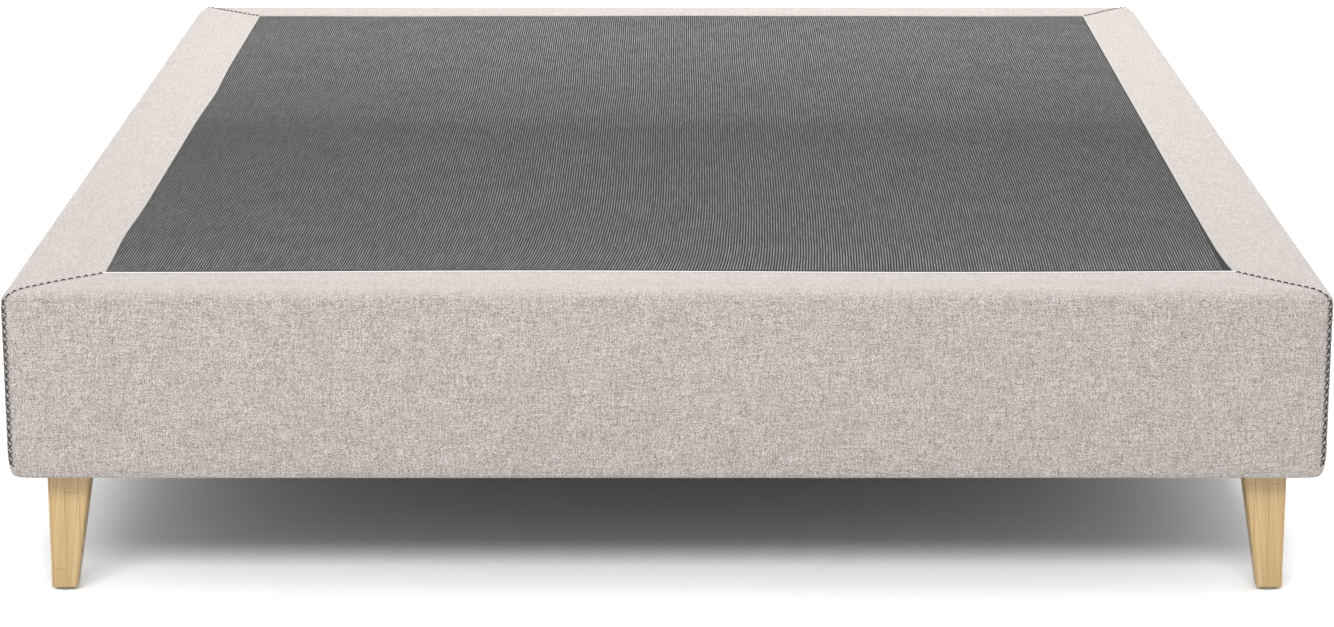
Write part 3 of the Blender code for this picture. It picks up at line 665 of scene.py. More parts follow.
HALF_WIDTH = cad_high.x
HALF_LENGTH = cad_high.y
COVER_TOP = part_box("cover_front")[1].z
COVER_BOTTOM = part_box("cover_front")[0].z
BORDER = 0.106
UPRIGHT_RADIUS = 0.020
TOP_EDGE_DEPTH = 0.014
TOP_EDGE_REACH = 0.030
BOTTOM_EDGE_DEPTH = 0.034
BOTTOM_EDGE_REACH = 0.007
BOTTOM_ROLL = 0.0015
RETURN_END = 0.0296
CLOTH_THICKNESS = 0.0018
MITRE_GAP = 0.0001
SEAM_ROLL = 0.0050
SEAM_DROP = 0.0018
MITRE_ROLL = 0.0045
MITRE_DROP = 0.0006
COLUMN_SPACING = 0.009
TOP_ROW_SPACING = 0.0075
SIDE_ROW_SPACING = 0.0085
HEM_ROW_SPACING = 0.003
TOP_EDGE_STEPS = 12
BOTTOM_EDGE_STEPS = 10
HEM_ROLL_RUN = 0.005
CLOTH_MOMENTS = 14
CLOTH_SETTINGS = {
    "quality": 5,
    "mass": 0.3,
    "tension_stiffness": 15,
    "compression_stiffness": 15,
    "shear_stiffness": 5,
    "bending_stiffness": 0.5,
    "air_damping": 8,
    "use_pressure": True,
    "uniform_pressure_force": 1.2,
}
YARN_PITCH = 0.0010
FLECK_LENGTH = 0.0010
SLUB_LENGTH = 0.0240
YARNS_APART = 3.7
SLUBS_APART = 5.3
CUT_SPACING = 4.0
# Where the painted sheen that calms the weave on the top fades out, as a run down the cut from the seam.
PAINTED_SHEEN_CALM_RUN = (-0.110, -0.080)
# Where the painted highlight along the folded seam edge lies, as a run down the cut from the seam.
SEAM_HIGHLIGHT_RUN = (-0.0022, -0.0017)
SEAM_RIDGE = 0.0016
SEAM_RIDGE_PLACE = 0.0012
SEAM_RIDGE_WIDTH = 0.0007
SEAM_ROWS = (0.0, 0.0004, 0.0008, 0.0012, 0.0016, 0.0021, 0.0027, 0.0035, 0.0048, 0.0066, 0.0090)
SEAM_ROWS_RUN = 0.012
SEAM_HELD = 0.008
FREE_RUN = 0.028
MITRE_HELD = 0.035
WAVES_RUN = 0.03
HAND_MADE_RUN = 0.028
LEFT_SEAM_SHIFT = 0.0067
LEFT_SEAM_BUMPS = ((0.0033, 0.23, 0.13), (-0.0032, -0.70, 0.10))
RIGHT_SEAM_SHIFT = 0.0002
RIGHT_SEAM_LEAN = 0.0085
RIGHT_SEAM_END = (0.0077, 0.07)
FRONT_SEAM_WAVE = (0.0008, 0.0037, 0.66)
BACK_SEAM_WAVES = ((0.0022, 6.0), (0.0010, 19.0))
BACK_SEAM_START = 1.3
END_SEAM_REACH = 0.045
SWELL_MEAN = 0.0005
SWELL_WAVES = ((0.0006, 5.0), (0.0003, 17.0))
PADDING_RISE = 0.0042
EDGE_COLUMNS = (0.0, 0.0012, 0.0026, 0.0042, 0.0060, 0.0085, 0.0120)


def cover_finish():
    """Plain weave of melange yarns with a few slubs; painted sheen makes it calmer on the top than on the
    sides, and a painted highlight runs along the folded edge at the seam.
    """
    cloth = Finish(
        "cover_fabric",
        {"Roughness": 0.92, "Sheen Weight": 0.195, "Sheen Roughness": 0.40, "Specular IOR Level": 0.15},
    )
    u, v, _ = cloth.split(cloth.node("ShaderNodeUVMap", {"uv_map": "cut"}))
    flat = cloth.joined(u, v)
    warp_yarn = cloth.maths("FLOOR", u / YARN_PITCH)
    weft_yarn = cloth.maths("FLOOR", v / YARN_PITCH)
    warp = cloth.noise(cloth.joined(warp_yarn * YARNS_APART, v / FLECK_LENGTH), detail=1.0)
    weft = cloth.noise(cloth.joined(u / FLECK_LENGTH, weft_yarn * YARNS_APART, 9.0), detail=1.0)
    over = cloth.maths("MODULO", cloth.maths("ABSOLUTE", warp_yarn + weft_yarn), 2.0)
    fleck = warp * over + weft * (1.0 - over)
    bows = [cloth.maths("SINE", run * (math.pi / YARN_PITCH)) for run in (u, v)]
    pillow = cloth.maths("ABSOLUTE", bows[0] * bows[1])
    slub_weft = cloth.noise(cloth.joined(u / SLUB_LENGTH, weft_yarn * SLUBS_APART, 4.0), detail=0.0)
    slub_warp = cloth.noise(cloth.joined(warp_yarn * SLUBS_APART, v / SLUB_LENGTH, 7.0), detail=0.0)
    slub = (slub_weft + slub_warp - 1.0) * 0.12
    # Painted sheen: the weave's flecks are calmed on the top, standing in for the grazing light that washes
    # out the yarns there.
    painted_sheen_calm = 1.0 - cloth.limited(v, *PAINTED_SHEEN_CALM_RUN) * 0.40
    clouds = cloth.noise(flat, (0.055, 0.040, 1.0), detail=1.0)
    colour = cloth.ramp(
        0.5 + ((fleck - 0.5) * 0.91 + slub) * painted_sheen_calm,
        (0.34, tone(108, 100, 94)),
        (0.44, tone(168, 160, 154)),
        (0.53, tone(208, 201, 195)),
        (0.64, tone(250, 245, 240)),
    )
    colour = cloth.mix(cloth.limited(clouds, 0.35, 0.65) * 0.11 + 0.11, colour, tone(184, 172, 165))
    # Painted highlight along the cover's folded edge at the panel seam, stronger on the front strip than on
    # the other three.
    past_front = cloth.limited(u, CUT_SPACING / 2, CUT_SPACING / 2 + 0.1)
    painted_seam_highlight = cloth.limited(v, *SEAM_HIGHLIGHT_RUN) * (0.85 - past_front * 0.50)
    cloth.paint(cloth.mix(painted_seam_highlight, colour, (0.66, 0.66, 0.65, 1.0)))
    cloth.emboss(pillow * 0.6 + fleck * 0.8, 0.00022)
    return cloth


cover_fabric = cover_finish()


def spread(start, end, step):
    """Values from start to end with a spacing of about one step, without the end."""
    return list(np.linspace(start, end, max(2, round(abs(end - start) / step)), endpoint=False))


def soft_step(value, low, high):
    """0 below low, 1 above high, and a soft step between them."""
    share = np.clip((value - low) / (high - low), 0, 1)
    return share * share * (3 - 2 * share)


def bump(value, place, width):
    """1 at a place, falling to 0 over about two widths on either side."""
    return np.exp(-(((value - place) / width) ** 2))


def strip_section():
    """The cover's section from the panel seam outwards: inset from the side, height and tilt."""
    rows = [(BORDER - run, COVER_TOP, 0.0) for run in SEAM_ROWS]
    for inset in spread(BORDER - SEAM_ROWS_RUN, TOP_EDGE_REACH, TOP_ROW_SPACING):
        rows.append((inset, COVER_TOP, 0.0))
    for turn in spread(0, math.pi / 2, math.pi / 2 / TOP_EDGE_STEPS):
        tilt = math.atan2(TOP_EDGE_DEPTH * math.sin(turn), TOP_EDGE_REACH * math.cos(turn))
        fall = TOP_EDGE_DEPTH * (1 - math.cos(turn))
        rows.append((TOP_EDGE_REACH * (1 - math.sin(turn)), COVER_TOP - fall, tilt))
    roll_bottom = COVER_BOTTOM - BOTTOM_ROLL
    for height in spread(COVER_TOP - TOP_EDGE_DEPTH, roll_bottom + BOTTOM_EDGE_DEPTH, SIDE_ROW_SPACING):
        rows.append((0.0, height, math.pi / 2))
    for turn in spread(0, math.pi / 2, math.pi / 2 / BOTTOM_EDGE_STEPS):
        tilt = math.atan2(BOTTOM_EDGE_REACH * math.sin(turn), BOTTOM_EDGE_DEPTH * math.cos(turn))
        height = roll_bottom + BOTTOM_EDGE_DEPTH * (1 - math.sin(turn))
        rows.append((BOTTOM_EDGE_REACH * (1 - math.cos(turn)), height, math.pi / 2 + tilt))
    for inset in spread(BOTTOM_EDGE_REACH, RETURN_END, HEM_ROW_SPACING):
        roll = BOTTOM_ROLL * (1 - soft_step(inset, BOTTOM_EDGE_REACH, BOTTOM_EDGE_REACH + HEM_ROLL_RUN))
        rows.append((inset, COVER_BOTTOM - roll, math.pi))
    rows.append((RETURN_END, COVER_BOTTOM, math.pi))
    return np.array(rows)


def hand_made(x, y):
    """How far the sewn top strays from the true drawing, in plan, at a place on the bed."""
    reach = soft_step(HALF_WIDTH - np.abs(x), HAND_MADE_RUN, BORDER)
    end_reach = soft_step(HALF_LENGTH - np.abs(y), HAND_MADE_RUN, BORDER)
    left = LEFT_SEAM_SHIFT + sum(size * bump(y, place, width) for size, place, width in LEFT_SEAM_BUMPS)
    from_front = np.maximum(y + HALF_LENGTH - BORDER, 0)
    flare, flare_run = RIGHT_SEAM_END
    right = RIGHT_SEAM_SHIFT + RIGHT_SEAM_LEAN * y + flare * np.exp(-from_front / flare_run)
    share = np.clip(0.5 + x / (2 * (HALF_WIDTH - BORDER)), 0, 1)
    across = (left + (right - left) * share) * reach * end_reach
    shift, size, place = FRONT_SEAM_WAVE
    front = shift - size * np.cos((x + place) * 2 * math.pi)
    back = sum(size * np.sin(x * rate + BACK_SEAM_START) for size, rate in BACK_SEAM_WAVES)
    near_end = bump(np.abs(y), HALF_LENGTH - BORDER, END_SEAM_REACH)
    along = np.where(y > 0, back, front) * near_end * end_reach
    return across, along * reach


def swell(points):
    """The low waves that a hand finds in stretched cloth over foam, always outwards."""
    places = [Vector(row) for row in points]
    waves = [sum(size * noise.noise(place * scale) for size, scale in SWELL_WAVES) for place in places]
    return SWELL_MEAN + np.array(waves)


def wrap(section, half_along, half_out, shares):
    """Points, outward normals, cut places and half lengths of a strip, before it is turned."""
    insets, heights, tilts = section.T
    radii = np.maximum(UPRIGHT_RADIUS - insets, 0)
    straight = half_along - insets - radii
    half_run = straight + radii * math.pi / 4 - MITRE_GAP / 2
    run = half_run[:, None] * shares[None, :]
    past = np.maximum(np.abs(run) - straight[:, None], 0)
    turn = np.divide(past, radii[:, None], out=np.zeros_like(past), where=radii[:, None] > TINY)
    side = np.sign(run)
    along = side * (np.minimum(np.abs(run), straight[:, None]) + radii[:, None] * np.sin(turn))
    out = (half_out - insets - radii)[:, None] + radii[:, None] * np.cos(turn)
    points = np.stack([along, out, np.broadcast_to(heights[:, None], along.shape)], axis=-1)
    lean = np.sin(tilts)[:, None]
    upwards = np.broadcast_to(np.cos(tilts)[:, None], along.shape)
    normals = np.stack([side * np.sin(turn) * lean, np.cos(turn) * lean, upwards], axis=-1)
    return points, normals, run, half_run


def turned_to_side(vectors, quarter_turns):
    """A strip's points or normals, turned from its drawing to its side of the bed."""
    angle = quarter_turns * math.pi / 2
    cos, sin = round(math.cos(angle)), round(math.sin(angle))
    along, out, up = np.moveaxis(vectors, -1, 0)
    return np.stack([cos * along + sin * out, sin * along - cos * out, up], axis=-1)


def grid_lines(half, insets, spacing):
    """Places from -half to half, about one spacing apart, with some closer together at both ends."""
    ends = half - np.array(insets)
    inner = ends[-1]
    return np.array([*-ends[:-1], *np.linspace(-inner, inner, round(2 * inner / spacing)), *ends[-2::-1]])


def grid_piece(columns, rows):
    """A flat grid with one vertex for each column and row, ready to be wrapped."""
    bpy.ops.object.select_all(action="DESELECT")
    bpy.ops.mesh.primitive_grid_add(
        x_subdivisions=columns - 1, y_subdivisions=rows - 1, size=1, calc_uvs=False
    )
    return bpy.context.object


def lay_out(piece, points, cut):
    """Moves a grid's vertices to their places and keeps their places on the flat cloth as a UV map."""
    piece.data.vertices.foreach_set("co", points.astype(np.float32).ravel())
    corner_of = np.zeros(len(piece.data.loops), np.int32)
    piece.data.loops.foreach_get("vertex_index", corner_of)
    layer = piece.data.uv_layers.new(name="cut")
    layer.data.foreach_set("uv", cut[corner_of].astype(np.float32).ravel())
    piece.data.update()


def run_along(points):
    """The distance along a line from its first point to each of its points."""
    return np.concatenate([[0], np.cumsum(np.linalg.norm(np.diff(points, axis=0), axis=1))])


SECTION = strip_section()
SECTION_RUN = run_along(SECTION[:, :2])


def free_rows():
    """How free each row is: 0 where the cloth is sewn, bent or stapled, and 1 in the flats."""
    insets, _, tilts = SECTION.T
    flat_top = (tilts == 0) & (SECTION_RUN > SEAM_HELD)
    flat_side = (insets == 0) & (tilts == math.pi / 2)
    held_runs = SECTION_RUN[~(flat_top | flat_side)]
    nearest = np.abs(SECTION_RUN[:, None] - held_runs[None, :]).min(axis=1)
    return soft_step(nearest, 0, FREE_RUN)


FREE_ROWS = free_rows()


def pressed_out(piece, points, normals, free):
    """How far the padding presses the stretched cloth out, from a cloth simulation held at its edges."""
    piece.data.vertices.foreach_set("co", points[::-1].astype(np.float32).ravel())
    piece.data.update()
    held = piece.vertex_groups.new(name="held")
    for index, share in enumerate(1 - free[::-1].ravel()):
        if share > 0.01:
            held.add([index], float(share), "REPLACE")
    cloth = piece.modifiers.new("cloth", "CLOTH")
    for name, value in CLOTH_SETTINGS.items():
        setattr(cloth.settings, name, value)
    cloth.settings.vertex_group_mass = held.name
    cloth.settings.effector_weights.gravity = 0
    cloth.collision_settings.use_collision = False
    for moment in range(1, CLOTH_MOMENTS + 1):
        bpy.context.scene.frame_set(moment)
    bpy.ops.object.modifier_apply(modifier=cloth.name)
    bpy.context.scene.frame_set(1)
    piece.vertex_groups.clear()
    moved = np.zeros(points.size, np.float32)
    piece.data.vertices.foreach_get("co", moved)
    outwards = ((moved.reshape(points.shape)[::-1] - points) * normals).sum(axis=-1)
    return PADDING_RISE * np.tanh(np.maximum(outwards, 0) / PADDING_RISE)


def make_cover_strip(name, node, half_along, half_out, quarter_turns):
    """One side of the cover: a flat cut strip wrapped over the frame and turned to its side."""
    longest = half_along - UPRIGHT_RADIUS + UPRIGHT_RADIUS * math.pi / 4
    shares = grid_lines(longest, EDGE_COLUMNS, COLUMN_SPACING) / longest
    points, normals, run, half_run = wrap(SECTION, half_along, half_out, shares)
    turned = turned_to_side(points, quarter_turns)
    out = turned_to_side(normals, quarter_turns)
    from_mitre = half_run[:, None] - np.abs(run)
    pull = MITRE_DROP * np.clip(1 - from_mitre / MITRE_ROLL, 0, 1) ** 2
    ridge = SEAM_RIDGE * bump(SECTION_RUN, SEAM_RIDGE_PLACE, SEAM_RIDGE_WIDTH)
    fall = SEAM_DROP * np.clip(1 - SECTION_RUN / SEAM_RIDGE_PLACE, 0, 1) ** 2
    piece = grid_piece(len(shares), len(SECTION))
    padding = pressed_out(piece, turned, out, FREE_ROWS[:, None] * soft_step(from_mitre, 0, MITRE_HELD))
    waves = swell(turned.reshape(-1, 3)).reshape(run.shape) * soft_step(from_mitre, 0, WAVES_RUN)
    rise = padding + waves * soft_step(SECTION_RUN, 0, WAVES_RUN)[:, None] - pull
    shaped = turned + out * rise[..., None]
    shaped[..., 2] += (ridge - fall)[:, None]
    across, along = hand_made(turned[..., 0], turned[..., 1])
    on_top = soft_step(turned[..., 2], COVER_TOP - TOP_EDGE_DEPTH, COVER_TOP)
    shaped[..., 0] += across * on_top
    shaped[..., 1] += along * on_top
    cut_down = np.broadcast_to(-SECTION_RUN[:, None], run.shape)
    cut = np.stack([run + CUT_SPACING * quarter_turns, cut_down], axis=-1)
    lay_out(piece, shaped[::-1].reshape(-1, 3), cut[::-1].reshape(-1, 2))
    modify("SOLIDIFY", thickness=CLOTH_THICKNESS, offset=-1)
    finished(name, cover_fabric, [node])
    float(np.sum(np.diff(SECTION_RUN) * (half_run[1:] + half_run[:-1])))


COVER_SIDES = {"front": 0, "right": 1, "back": 2, "left": 3}
for side, quarter_turns in COVER_SIDES.items():
    halves = (HALF_WIDTH, HALF_LENGTH) if quarter_turns % 2 == 0 else (HALF_LENGTH, HALF_WIDTH)
    make_cover_strip("cover_strip_" + side, "cover_" + side, *halves, quarter_turns)


# Dark panel
# A dark grey grip fabric with fine ribs along the bed, which keeps the mattress from sliding.
# It is sewn to the four strips with the seam turned down, so both roll into a narrow groove.

RIB_PITCH = 0.00345
DASH_LENGTH = 0.0060
STRAND_LENGTH = 0.045
PANEL_CROWN = 0.004
CROWN_RUN = 0.110
PANEL_SPACING = 0.010
PANEL_EDGE = (0.0, 0.0012, 0.0026, 0.0040, 0.0055, 0.0080)
PANEL_THICKNESS = 0.0018
SEAM_GAP = 0.0003
# How far from the side and end seams the painted seam shade fades out.
SIDE_SEAM_SHADE_RUN = (0.0008, 0.0024)
END_SEAM_SHADE_RUN = (0.0065, 0.0095)
JOINT_WIDTH = 0.05
JOINT_DIP = 0.0012
RIPPLES_RUN = 0.05
RIPPLES_GAIN = 1.4
DRAG_SHIFT = 0.011
DRAG_BUMP = (0.019, -0.15, 0.25)
DRAG_RUN = 0.115
# Painted light and shade along the panel: brightness at places from the foot end (-1) to the head end (1).
PAINTED_LENGTH_SHADE = ((-0.87, 0.95), (-0.74, 0.80), (-0.04, 0.60), (0.04, 0.78), (0.70, 1.05), (0.88, 1.0))


def grip_finish():
    """Ribs of looped yarn with dark grooves between them; loops and whole strands are lighter dashes. Painted
    light and shade run along its length, and painted shade lies along the seams.
    """
    grip = Finish("grip_fabric", {"Roughness": 0.85, "Sheen Weight": 0.015, "Specular IOR Level": 0.08})
    u, v, _ = grip.split(grip.node("ShaderNodeUVMap", {"uv_map": "cut"}))
    flat = grip.joined(u, v)
    wander = grip.noise(flat, (0.10, 0.20, 1.0), detail=2.0) * (0.8 * RIB_PITCH)
    across = u + wander
    rib = grip.maths("FLOOR", across / RIB_PITCH)
    ridge = grip.wave(across, RIB_PITCH)
    dashes = grip.noise(grip.joined(rib * YARNS_APART, v / DASH_LENGTH), detail=1.0)
    strands = grip.noise(grip.joined(rib * SLUBS_APART, v / STRAND_LENGTH, 3.0))
    strands = grip.limited(strands, 0.3, 0.7)
    specks = grip.noise(flat, (0.0014, 0.0020, 1.0), detail=1.0)
    patches = grip.noise(flat, (0.09, 0.06, 1.0), detail=4.0)
    loops = grip.limited(dashes + specks * 0.5, 0.62, 0.88)
    share = grip.limited(ridge, 0.25, 0.75) * (0.62 + loops * 0.14 + strands * 0.20)
    colour = grip.ramp(share, (0.0, tone(26, 26, 26)), (0.45, tone(80, 80, 80)), (1.0, tone(160, 160, 160)))
    # Painted light and shade along the panel's length: darkest just in front of the middle, a step lighter
    # behind it, and lighter towards both ends, most at the head end.
    painted_shade_stops = [(0.5 + 0.5 * place, (brightness, brightness, brightness, 1.0)) for place, brightness in PAINTED_LENGTH_SHADE]
    colour = grip.mix(1.0, colour, grip.ramp(v * 0.5 + 0.5, *painted_shade_stops), "MULTIPLY")
    # Painted shade where the panel rolls down into its seams, narrow along the side seams and wider along the
    # end seams.
    clear_of_side_shade = grip.limited(half_x - grip.maths("ABSOLUTE", u), *SIDE_SEAM_SHADE_RUN)
    clear_of_end_shade = grip.limited(half_y - grip.maths("ABSOLUTE", v), *END_SEAM_SHADE_RUN)
    seam_shade_share = 1.0 - clear_of_side_shade * clear_of_end_shade
    colour = grip.mix(grip.limited(patches, 0.3, 0.7) * 0.20, colour, tone(56, 56, 56))
    grip.paint(grip.mix(seam_shade_share * 0.75, colour, tone(12, 12, 12)))
    grip.emboss(ridge * 0.7 + loops * 0.3, 0.0005)
    return grip


half_x = HALF_WIDTH - BORDER - SEAM_GAP
half_y = HALF_LENGTH - BORDER - SEAM_GAP
grip_fabric = grip_finish()


def crown(distance):
    """The share of the padding's full height at a distance from a seam."""
    return 1 - (1 - np.clip(distance / CROWN_RUN, 0, 1)) ** 2


x, y = np.meshgrid(*(grid_lines(half, PANEL_EDGE, PANEL_SPACING) for half in (half_x, half_y)))
from_side = half_x - np.abs(x)
from_end = half_y - np.abs(y)
height = COVER_TOP + PANEL_CROWN * crown(from_side) * crown(from_end)
height -= SEAM_DROP * np.clip(1 - np.minimum(from_side, from_end) / SEAM_ROLL, 0, 1) ** 2
smooth_points = np.stack([x, y, height], axis=-1).reshape(-1, 3)
ripples = (swell(smooth_points).reshape(x.shape) - SWELL_MEAN) * RIPPLES_GAIN
height += ripples * soft_step(np.minimum(from_side, from_end), 0, RIPPLES_RUN)
height -= JOINT_DIP * bump(y, 0, JOINT_WIDTH) * crown(from_side)
across, along = hand_made(x, y)
drag_size, drag_place, drag_width = DRAG_BUMP
drag = (DRAG_SHIFT + drag_size * bump(x, drag_place, drag_width)) * np.exp(-(half_y + y) / DRAG_RUN)
panel = grid_piece(x.shape[1], x.shape[0])
lay_out(
    panel,
    np.stack([x + across, y + along, height], axis=-1).reshape(-1, 3),
    np.stack([x + drag, y], axis=-1).reshape(-1, 2),
)
modify("SOLIDIFY", thickness=PANEL_THICKNESS, offset=-1)
finished("grip_panel", grip_fabric, ["top_panel"])


# Corner stitching
# Black cross stitch in thick twisted thread closes each mitre, from the panel's corner over
# the edge and down the upright corner. Each cross has two legs, the second over the first.

STITCH_PITCH = 0.0100
STITCH_START_SHARE = 0.55
STITCH_HALF_WIDTHS = (0.0056, 0.0007)
STITCH_LENGTH_SHARES = (0.98, 0.70)
STITCH_END_GAP = 0.003
THREAD_RADIUS = 0.00064
THREAD_LIFT = 0.0002
THREAD_BULGE = 0.0006
THREAD_DIP = 0.0012
THREAD_POINTS = 9


def thread_finish():
    """Black twisted thread with a dull shine."""
    thread = Finish("seam_thread", {"Roughness": 0.7, "Sheen Weight": 0.05, "Specular IOR Level": 0.2})
    twist = thread.noise(thread.place(), (0.0006, 0.0006, 0.0003), detail=2.0)
    thread.paint(thread.ramp(twist, (0.3, tone(4, 4, 4)), (0.7, tone(20, 18, 18))))
    thread.emboss(twist, 0.0003)
    return thread


seam_thread = thread_finish()


def mitre_line():
    """The mitre of the front left corner as points, outward normals and distances along it."""
    insets, heights, tilts = SECTION.T
    keep = heights > COVER_BOTTOM + STITCH_END_GAP
    insets, heights, tilts = insets[keep], heights[keep], tilts[keep]
    radii = np.maximum(UPRIGHT_RADIUS - insets, 0)
    reach = insets + radii * (1 - math.sqrt(0.5))
    places = np.stack([reach - HALF_WIDTH, reach - HALF_LENGTH, heights], axis=-1)
    slant = np.sin(tilts) * math.sqrt(0.5)
    normals = np.stack([-slant, -slant, np.cos(tilts)], axis=-1)
    return places, normals, run_along(places)


MITRE_PLACES, MITRE_NORMALS, MITRE_LENGTHS = mitre_line()


def on_mitre(distance, sign_x, sign_y):
    """The place on a corner's mitre at a distance from the panel, and the way out there."""
    flip = np.array([-sign_x, -sign_y, 1])
    place, normal = (
        flip * [np.interp(distance, MITRE_LENGTHS, values) for values in line.T]
        for line in (MITRE_PLACES, MITRE_NORMALS)
    )
    across, along = hand_made(place[0], place[1])
    on_top = soft_step(place[2], COVER_TOP - TOP_EDGE_DEPTH, COVER_TOP)
    return Vector(place + np.array([across, along, 0]) * on_top), Vector(normal).normalized()


def make_stitching(corner, sign_x, sign_y):
    """All the crosses of one corner, as short threads from hole to hole."""
    curve = bpy.data.curves.new("stitching_" + corner, "CURVE")
    curve.dimensions = "3D"
    curve.bevel_depth = THREAD_RADIUS
    curve.bevel_resolution = 1
    curve.use_fill_caps = True
    sideways = Vector((-sign_y, sign_x, 0)).normalized()
    count = round(MITRE_LENGTHS[-1] / STITCH_PITCH) - 1
    for index in range(count):
        centre = (index + STITCH_START_SHARE) * STITCH_PITCH
        flat = max(0.0, on_mitre(centre, sign_x, sign_y)[1].z)
        half_length = np.interp(flat, (0, 1), STITCH_LENGTH_SHARES) * STITCH_PITCH / 2
        half_width = np.interp(flat, (0, 1), STITCH_HALF_WIDTHS)
        for layer, side in ((0, -1), (1, 1)):
            spline = curve.splines.new("POLY")
            spline.points.add(THREAD_POINTS - 1)
            for share, point in zip(np.linspace(-1, 1, THREAD_POINTS), spline.points):
                place, out = on_mitre(centre + half_length * share, sign_x, sign_y)
                aside = side * half_width * (0.75 * share + 0.25 * share**3)
                lift = THREAD_LIFT + THREAD_BULGE * (1 - share**2) * (1 + layer)
                lift -= THREAD_DIP * abs(share) ** 6 + (1 - flat) * aside**2 / (2 * UPRIGHT_RADIUS)
                point.co = (*(place + sideways * aside + out * lift), 1)
                point.radius = (1.0 - 0.5 * abs(share) ** 3) * (1.0 - 0.22 * flat)
    made = bpy.data.objects.new("stitching_" + corner, curve)
    bpy.context.collection.objects.link(made)
    bpy.context.view_layer.objects.active = made
    made.select_set(True)
    bpy.ops.object.convert(target="MESH")
    finished("stitching_" + corner, seam_thread, ["corner_stitch_" + corner])


for corner, (sign_x, sign_y) in CORNERS.items():
    make_stitching(corner, sign_x, sign_y)


# Dust cloth
# Black non-woven cloth closes the frame from below. It is stapled to the rails all round,
# hangs a few millimetres between them, and is cut out round the two middle legs.

DUST_SPACING = 0.028
DUST_TOP_GAP = 0.0002
DUST_HANG = (0.02, 0.35)
DUST_SAG = 0.0042
DUST_FOLDS = 0.0022
DUST_DOT_PITCH = 0.0024
DUST_THICKNESS = 0.0008
DUST_HOLE_RADIUS = 0.0245
DUST_HOLE_SIDES = 40


def dust_finish():
    """Spun fibres pressed together in a fine grid of dots."""
    cloth = Finish("dust_cloth", {"Roughness": 0.9, "Sheen Weight": 0.1})
    place = cloth.place()
    x, y, _ = cloth.split(place)
    dots = cloth.wave(x, DUST_DOT_PITCH) * cloth.wave(y, DUST_DOT_PITCH)
    fibres = cloth.noise(place, (0.004, 0.0008, 0.004), detail=3.0)
    cloth.paint(cloth.ramp(fibres * 0.7 + dots * 0.3, (0.2, tone(34, 34, 36)), (0.8, tone(82, 82, 84))))
    cloth.emboss(dots * 0.6 + fibres * 0.4, 0.0003)
    return cloth


dust_cloth = dust_finish()
dust_low, dust_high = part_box("dust_cover")
dust_size = dust_high - dust_low
dust_level = dust_high.z - DUST_TOP_GAP
x, y = np.meshgrid(
    *(np.linspace(-size / 2, size / 2, round(size / DUST_SPACING) + 1) for size in dust_size.xy)
)
dust = grid_piece(x.shape[1], x.shape[0])
inward = np.minimum(dust_size.x / 2 - np.abs(x), dust_size.y / 2 - np.abs(y))
folds = np.array([noise.noise(Vector((*place, 7.0))) for place in zip(x.ravel() * 4.0, y.ravel() * 4.0)])
drop = soft_step(inward, *DUST_HANG) * (DUST_SAG + DUST_FOLDS * folds.reshape(x.shape))
places = np.stack([x, y, dust_level - drop], axis=-1).reshape(-1, 3)
lay_out(dust, places, places[:, :2])
modify("SOLIDIFY", thickness=DUST_THICKNESS, offset=-1)
for end in ("foot_end", "head_end"):
    low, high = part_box("middle_leg_" + end)
    heights = (dust_level - DUST_HOLE_RADIUS, dust_level + DUST_HOLE_RADIUS)
    cylinder(DUST_HOLE_SIDES, DUST_HOLE_RADIUS, *heights, (low + high) / 2)
    tool = bpy.context.object
    bpy.ops.object.select_all(action="DESELECT")
    bpy.context.view_layer.objects.active = dust
    dust.select_set(True)
    modify("BOOLEAN", object=tool, operation="DIFFERENCE")
    bpy.data.objects.remove(tool)
finished("dust_sheet", dust_cloth, ["dust_cover"])


# Staples
# Flat zinc wire staples hold the dust cloth and the turned-in cover to the rails. They run
# in one row along each rail, and each sits a little crooked, as a staple gun leaves it.

STAPLE_WIDTH = 0.0105
STAPLE_WIRE = 0.0011
STAPLE_LEG = 0.0012
STAPLE_EDGE_ANGLE = math.radians(40)
STAPLE_SPACING = 0.055
STAPLE_INSET = 0.0085
STAPLE_SLANT = 0.22

staple_level = dust_low.z - STAPLE_WIRE / 4
staple_places = []
for turn, (half_run, half_out) in enumerate((dust_size.xy / 2, dust_size.yx / 2)):
    count = round(2 * half_run / STAPLE_SPACING)
    to_side = Matrix.Rotation(turn * math.pi / 2, 4, "Z")
    for side in (-1, 1):
        for index in range(count):
            run = -half_run + (index + 0.5) * 2 * half_run / count
            here = Matrix.Translation((run, side * (half_out - STAPLE_INSET), staple_level))
            slant = Matrix.Rotation(STAPLE_SLANT * math.sin(index * 2.4 + side), 4, "Z")
            staple_places.append(to_side @ here @ slant)
bpy.ops.mesh.primitive_cube_add(size=1, scale=(STAPLE_WIDTH, STAPLE_WIRE, STAPLE_WIRE / 2))
settle()
edit("FACE", lambda face: abs(face.normal.x) > FACING)
extrude(STAPLE_LEG)
leave_edit()
modify("BEVEL", width=STAPLE_WIRE / 6, segments=1, limit_method="ANGLE", angle_limit=STAPLE_EDGE_ANGLE)
repeat(bpy.context.object, staple_places)
finished("dust_cloth_staples", zinc_steel, [])


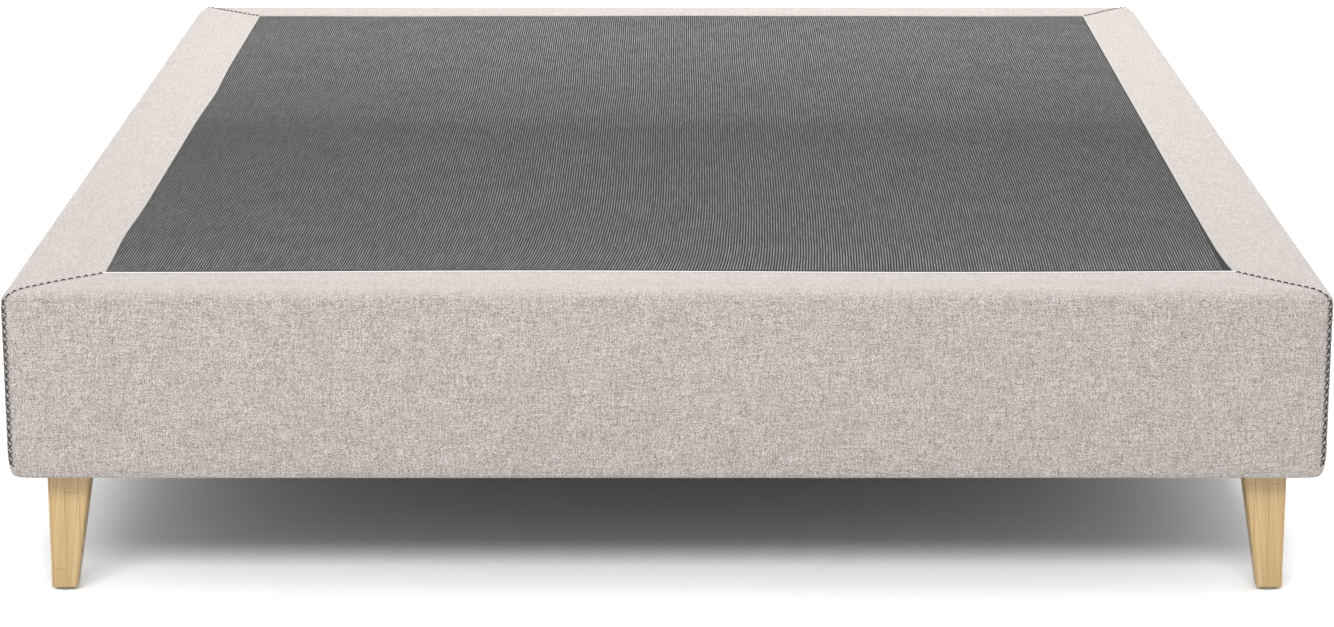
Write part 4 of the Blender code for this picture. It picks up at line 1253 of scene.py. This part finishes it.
# Studio
# A pale floor in a white surround, with one large light overhead and one before the foot
# end, seen from the foot end by a camera with a long lens, 1.49 m above the floor and
# tilted down.

CAMERA_PLACE = (0.0, -5.3046, 1.4870)
CAMERA_TILT = math.radians(14.624)
CAMERA_LENS = 100.39
FLOOR_SIZE = 60.0
SURROUND_STRENGTH = 1.06


def floor_finish():
    """Matt white studio board."""
    board = Finish("studio_floor", {"Roughness": 0.9, "Specular IOR Level": 0.1})
    clouds = board.noise(board.place(), (0.6, 0.6, 0.6), detail=2.0)
    board.paint(board.ramp(clouds, (0.3, (0.94, 0.94, 0.94, 1.0)), (0.7, (0.96, 0.96, 0.96, 1.0))))
    return board


bpy.ops.mesh.primitive_plane_add(size=FLOOR_SIZE, location=(0, 0, 0))
floor = bpy.context.object
floor.name = "studio_floor"
floor.data.materials.append(floor_finish().material)

world = bpy.data.worlds.new("studio_surround")
bpy.context.scene.world = world
world.use_nodes = True
surround = world.node_tree.nodes["Background"]
surround.inputs["Color"].default_value = (1.0, 1.0, 1.0, 1.0)
surround.inputs["Strength"].default_value = SURROUND_STRENGTH


def soft_light(name, place, target, size, power):
    """A large rectangular light that faces a point."""
    bpy.ops.object.light_add(type="AREA", location=place)
    light = bpy.context.object
    light.name = name
    light.data.shape = "RECTANGLE"
    light.data.size, light.data.size_y = size
    light.data.energy = power
    light.visible_camera = False
    light.rotation_euler = (Vector(target) - Vector(place)).to_track_quat("-Z", "Y").to_euler()


soft_light("overhead_light", place=(0.15, 1.2, 3.1), target=(0.0, 0.2, 0.39), size=(3.0, 2.0), power=171.0)
soft_light("front_light", place=(-0.6, -4.2, 3.05), target=(-0.1, -0.9, 0.2), size=(4.5, 1.2), power=184.0)

bpy.ops.object.camera_add(location=CAMERA_PLACE, rotation=(math.pi / 2 - CAMERA_TILT, 0, 0))
camera = bpy.context.object
camera.data.lens = CAMERA_LENS
camera.data.sensor_width = 36.0
camera.data.sensor_fit = "HORIZONTAL"
camera.data.clip_end = 100.0
bpy.context.scene.camera = camera
bpy.context.scene.view_settings.view_transform = "Standard"
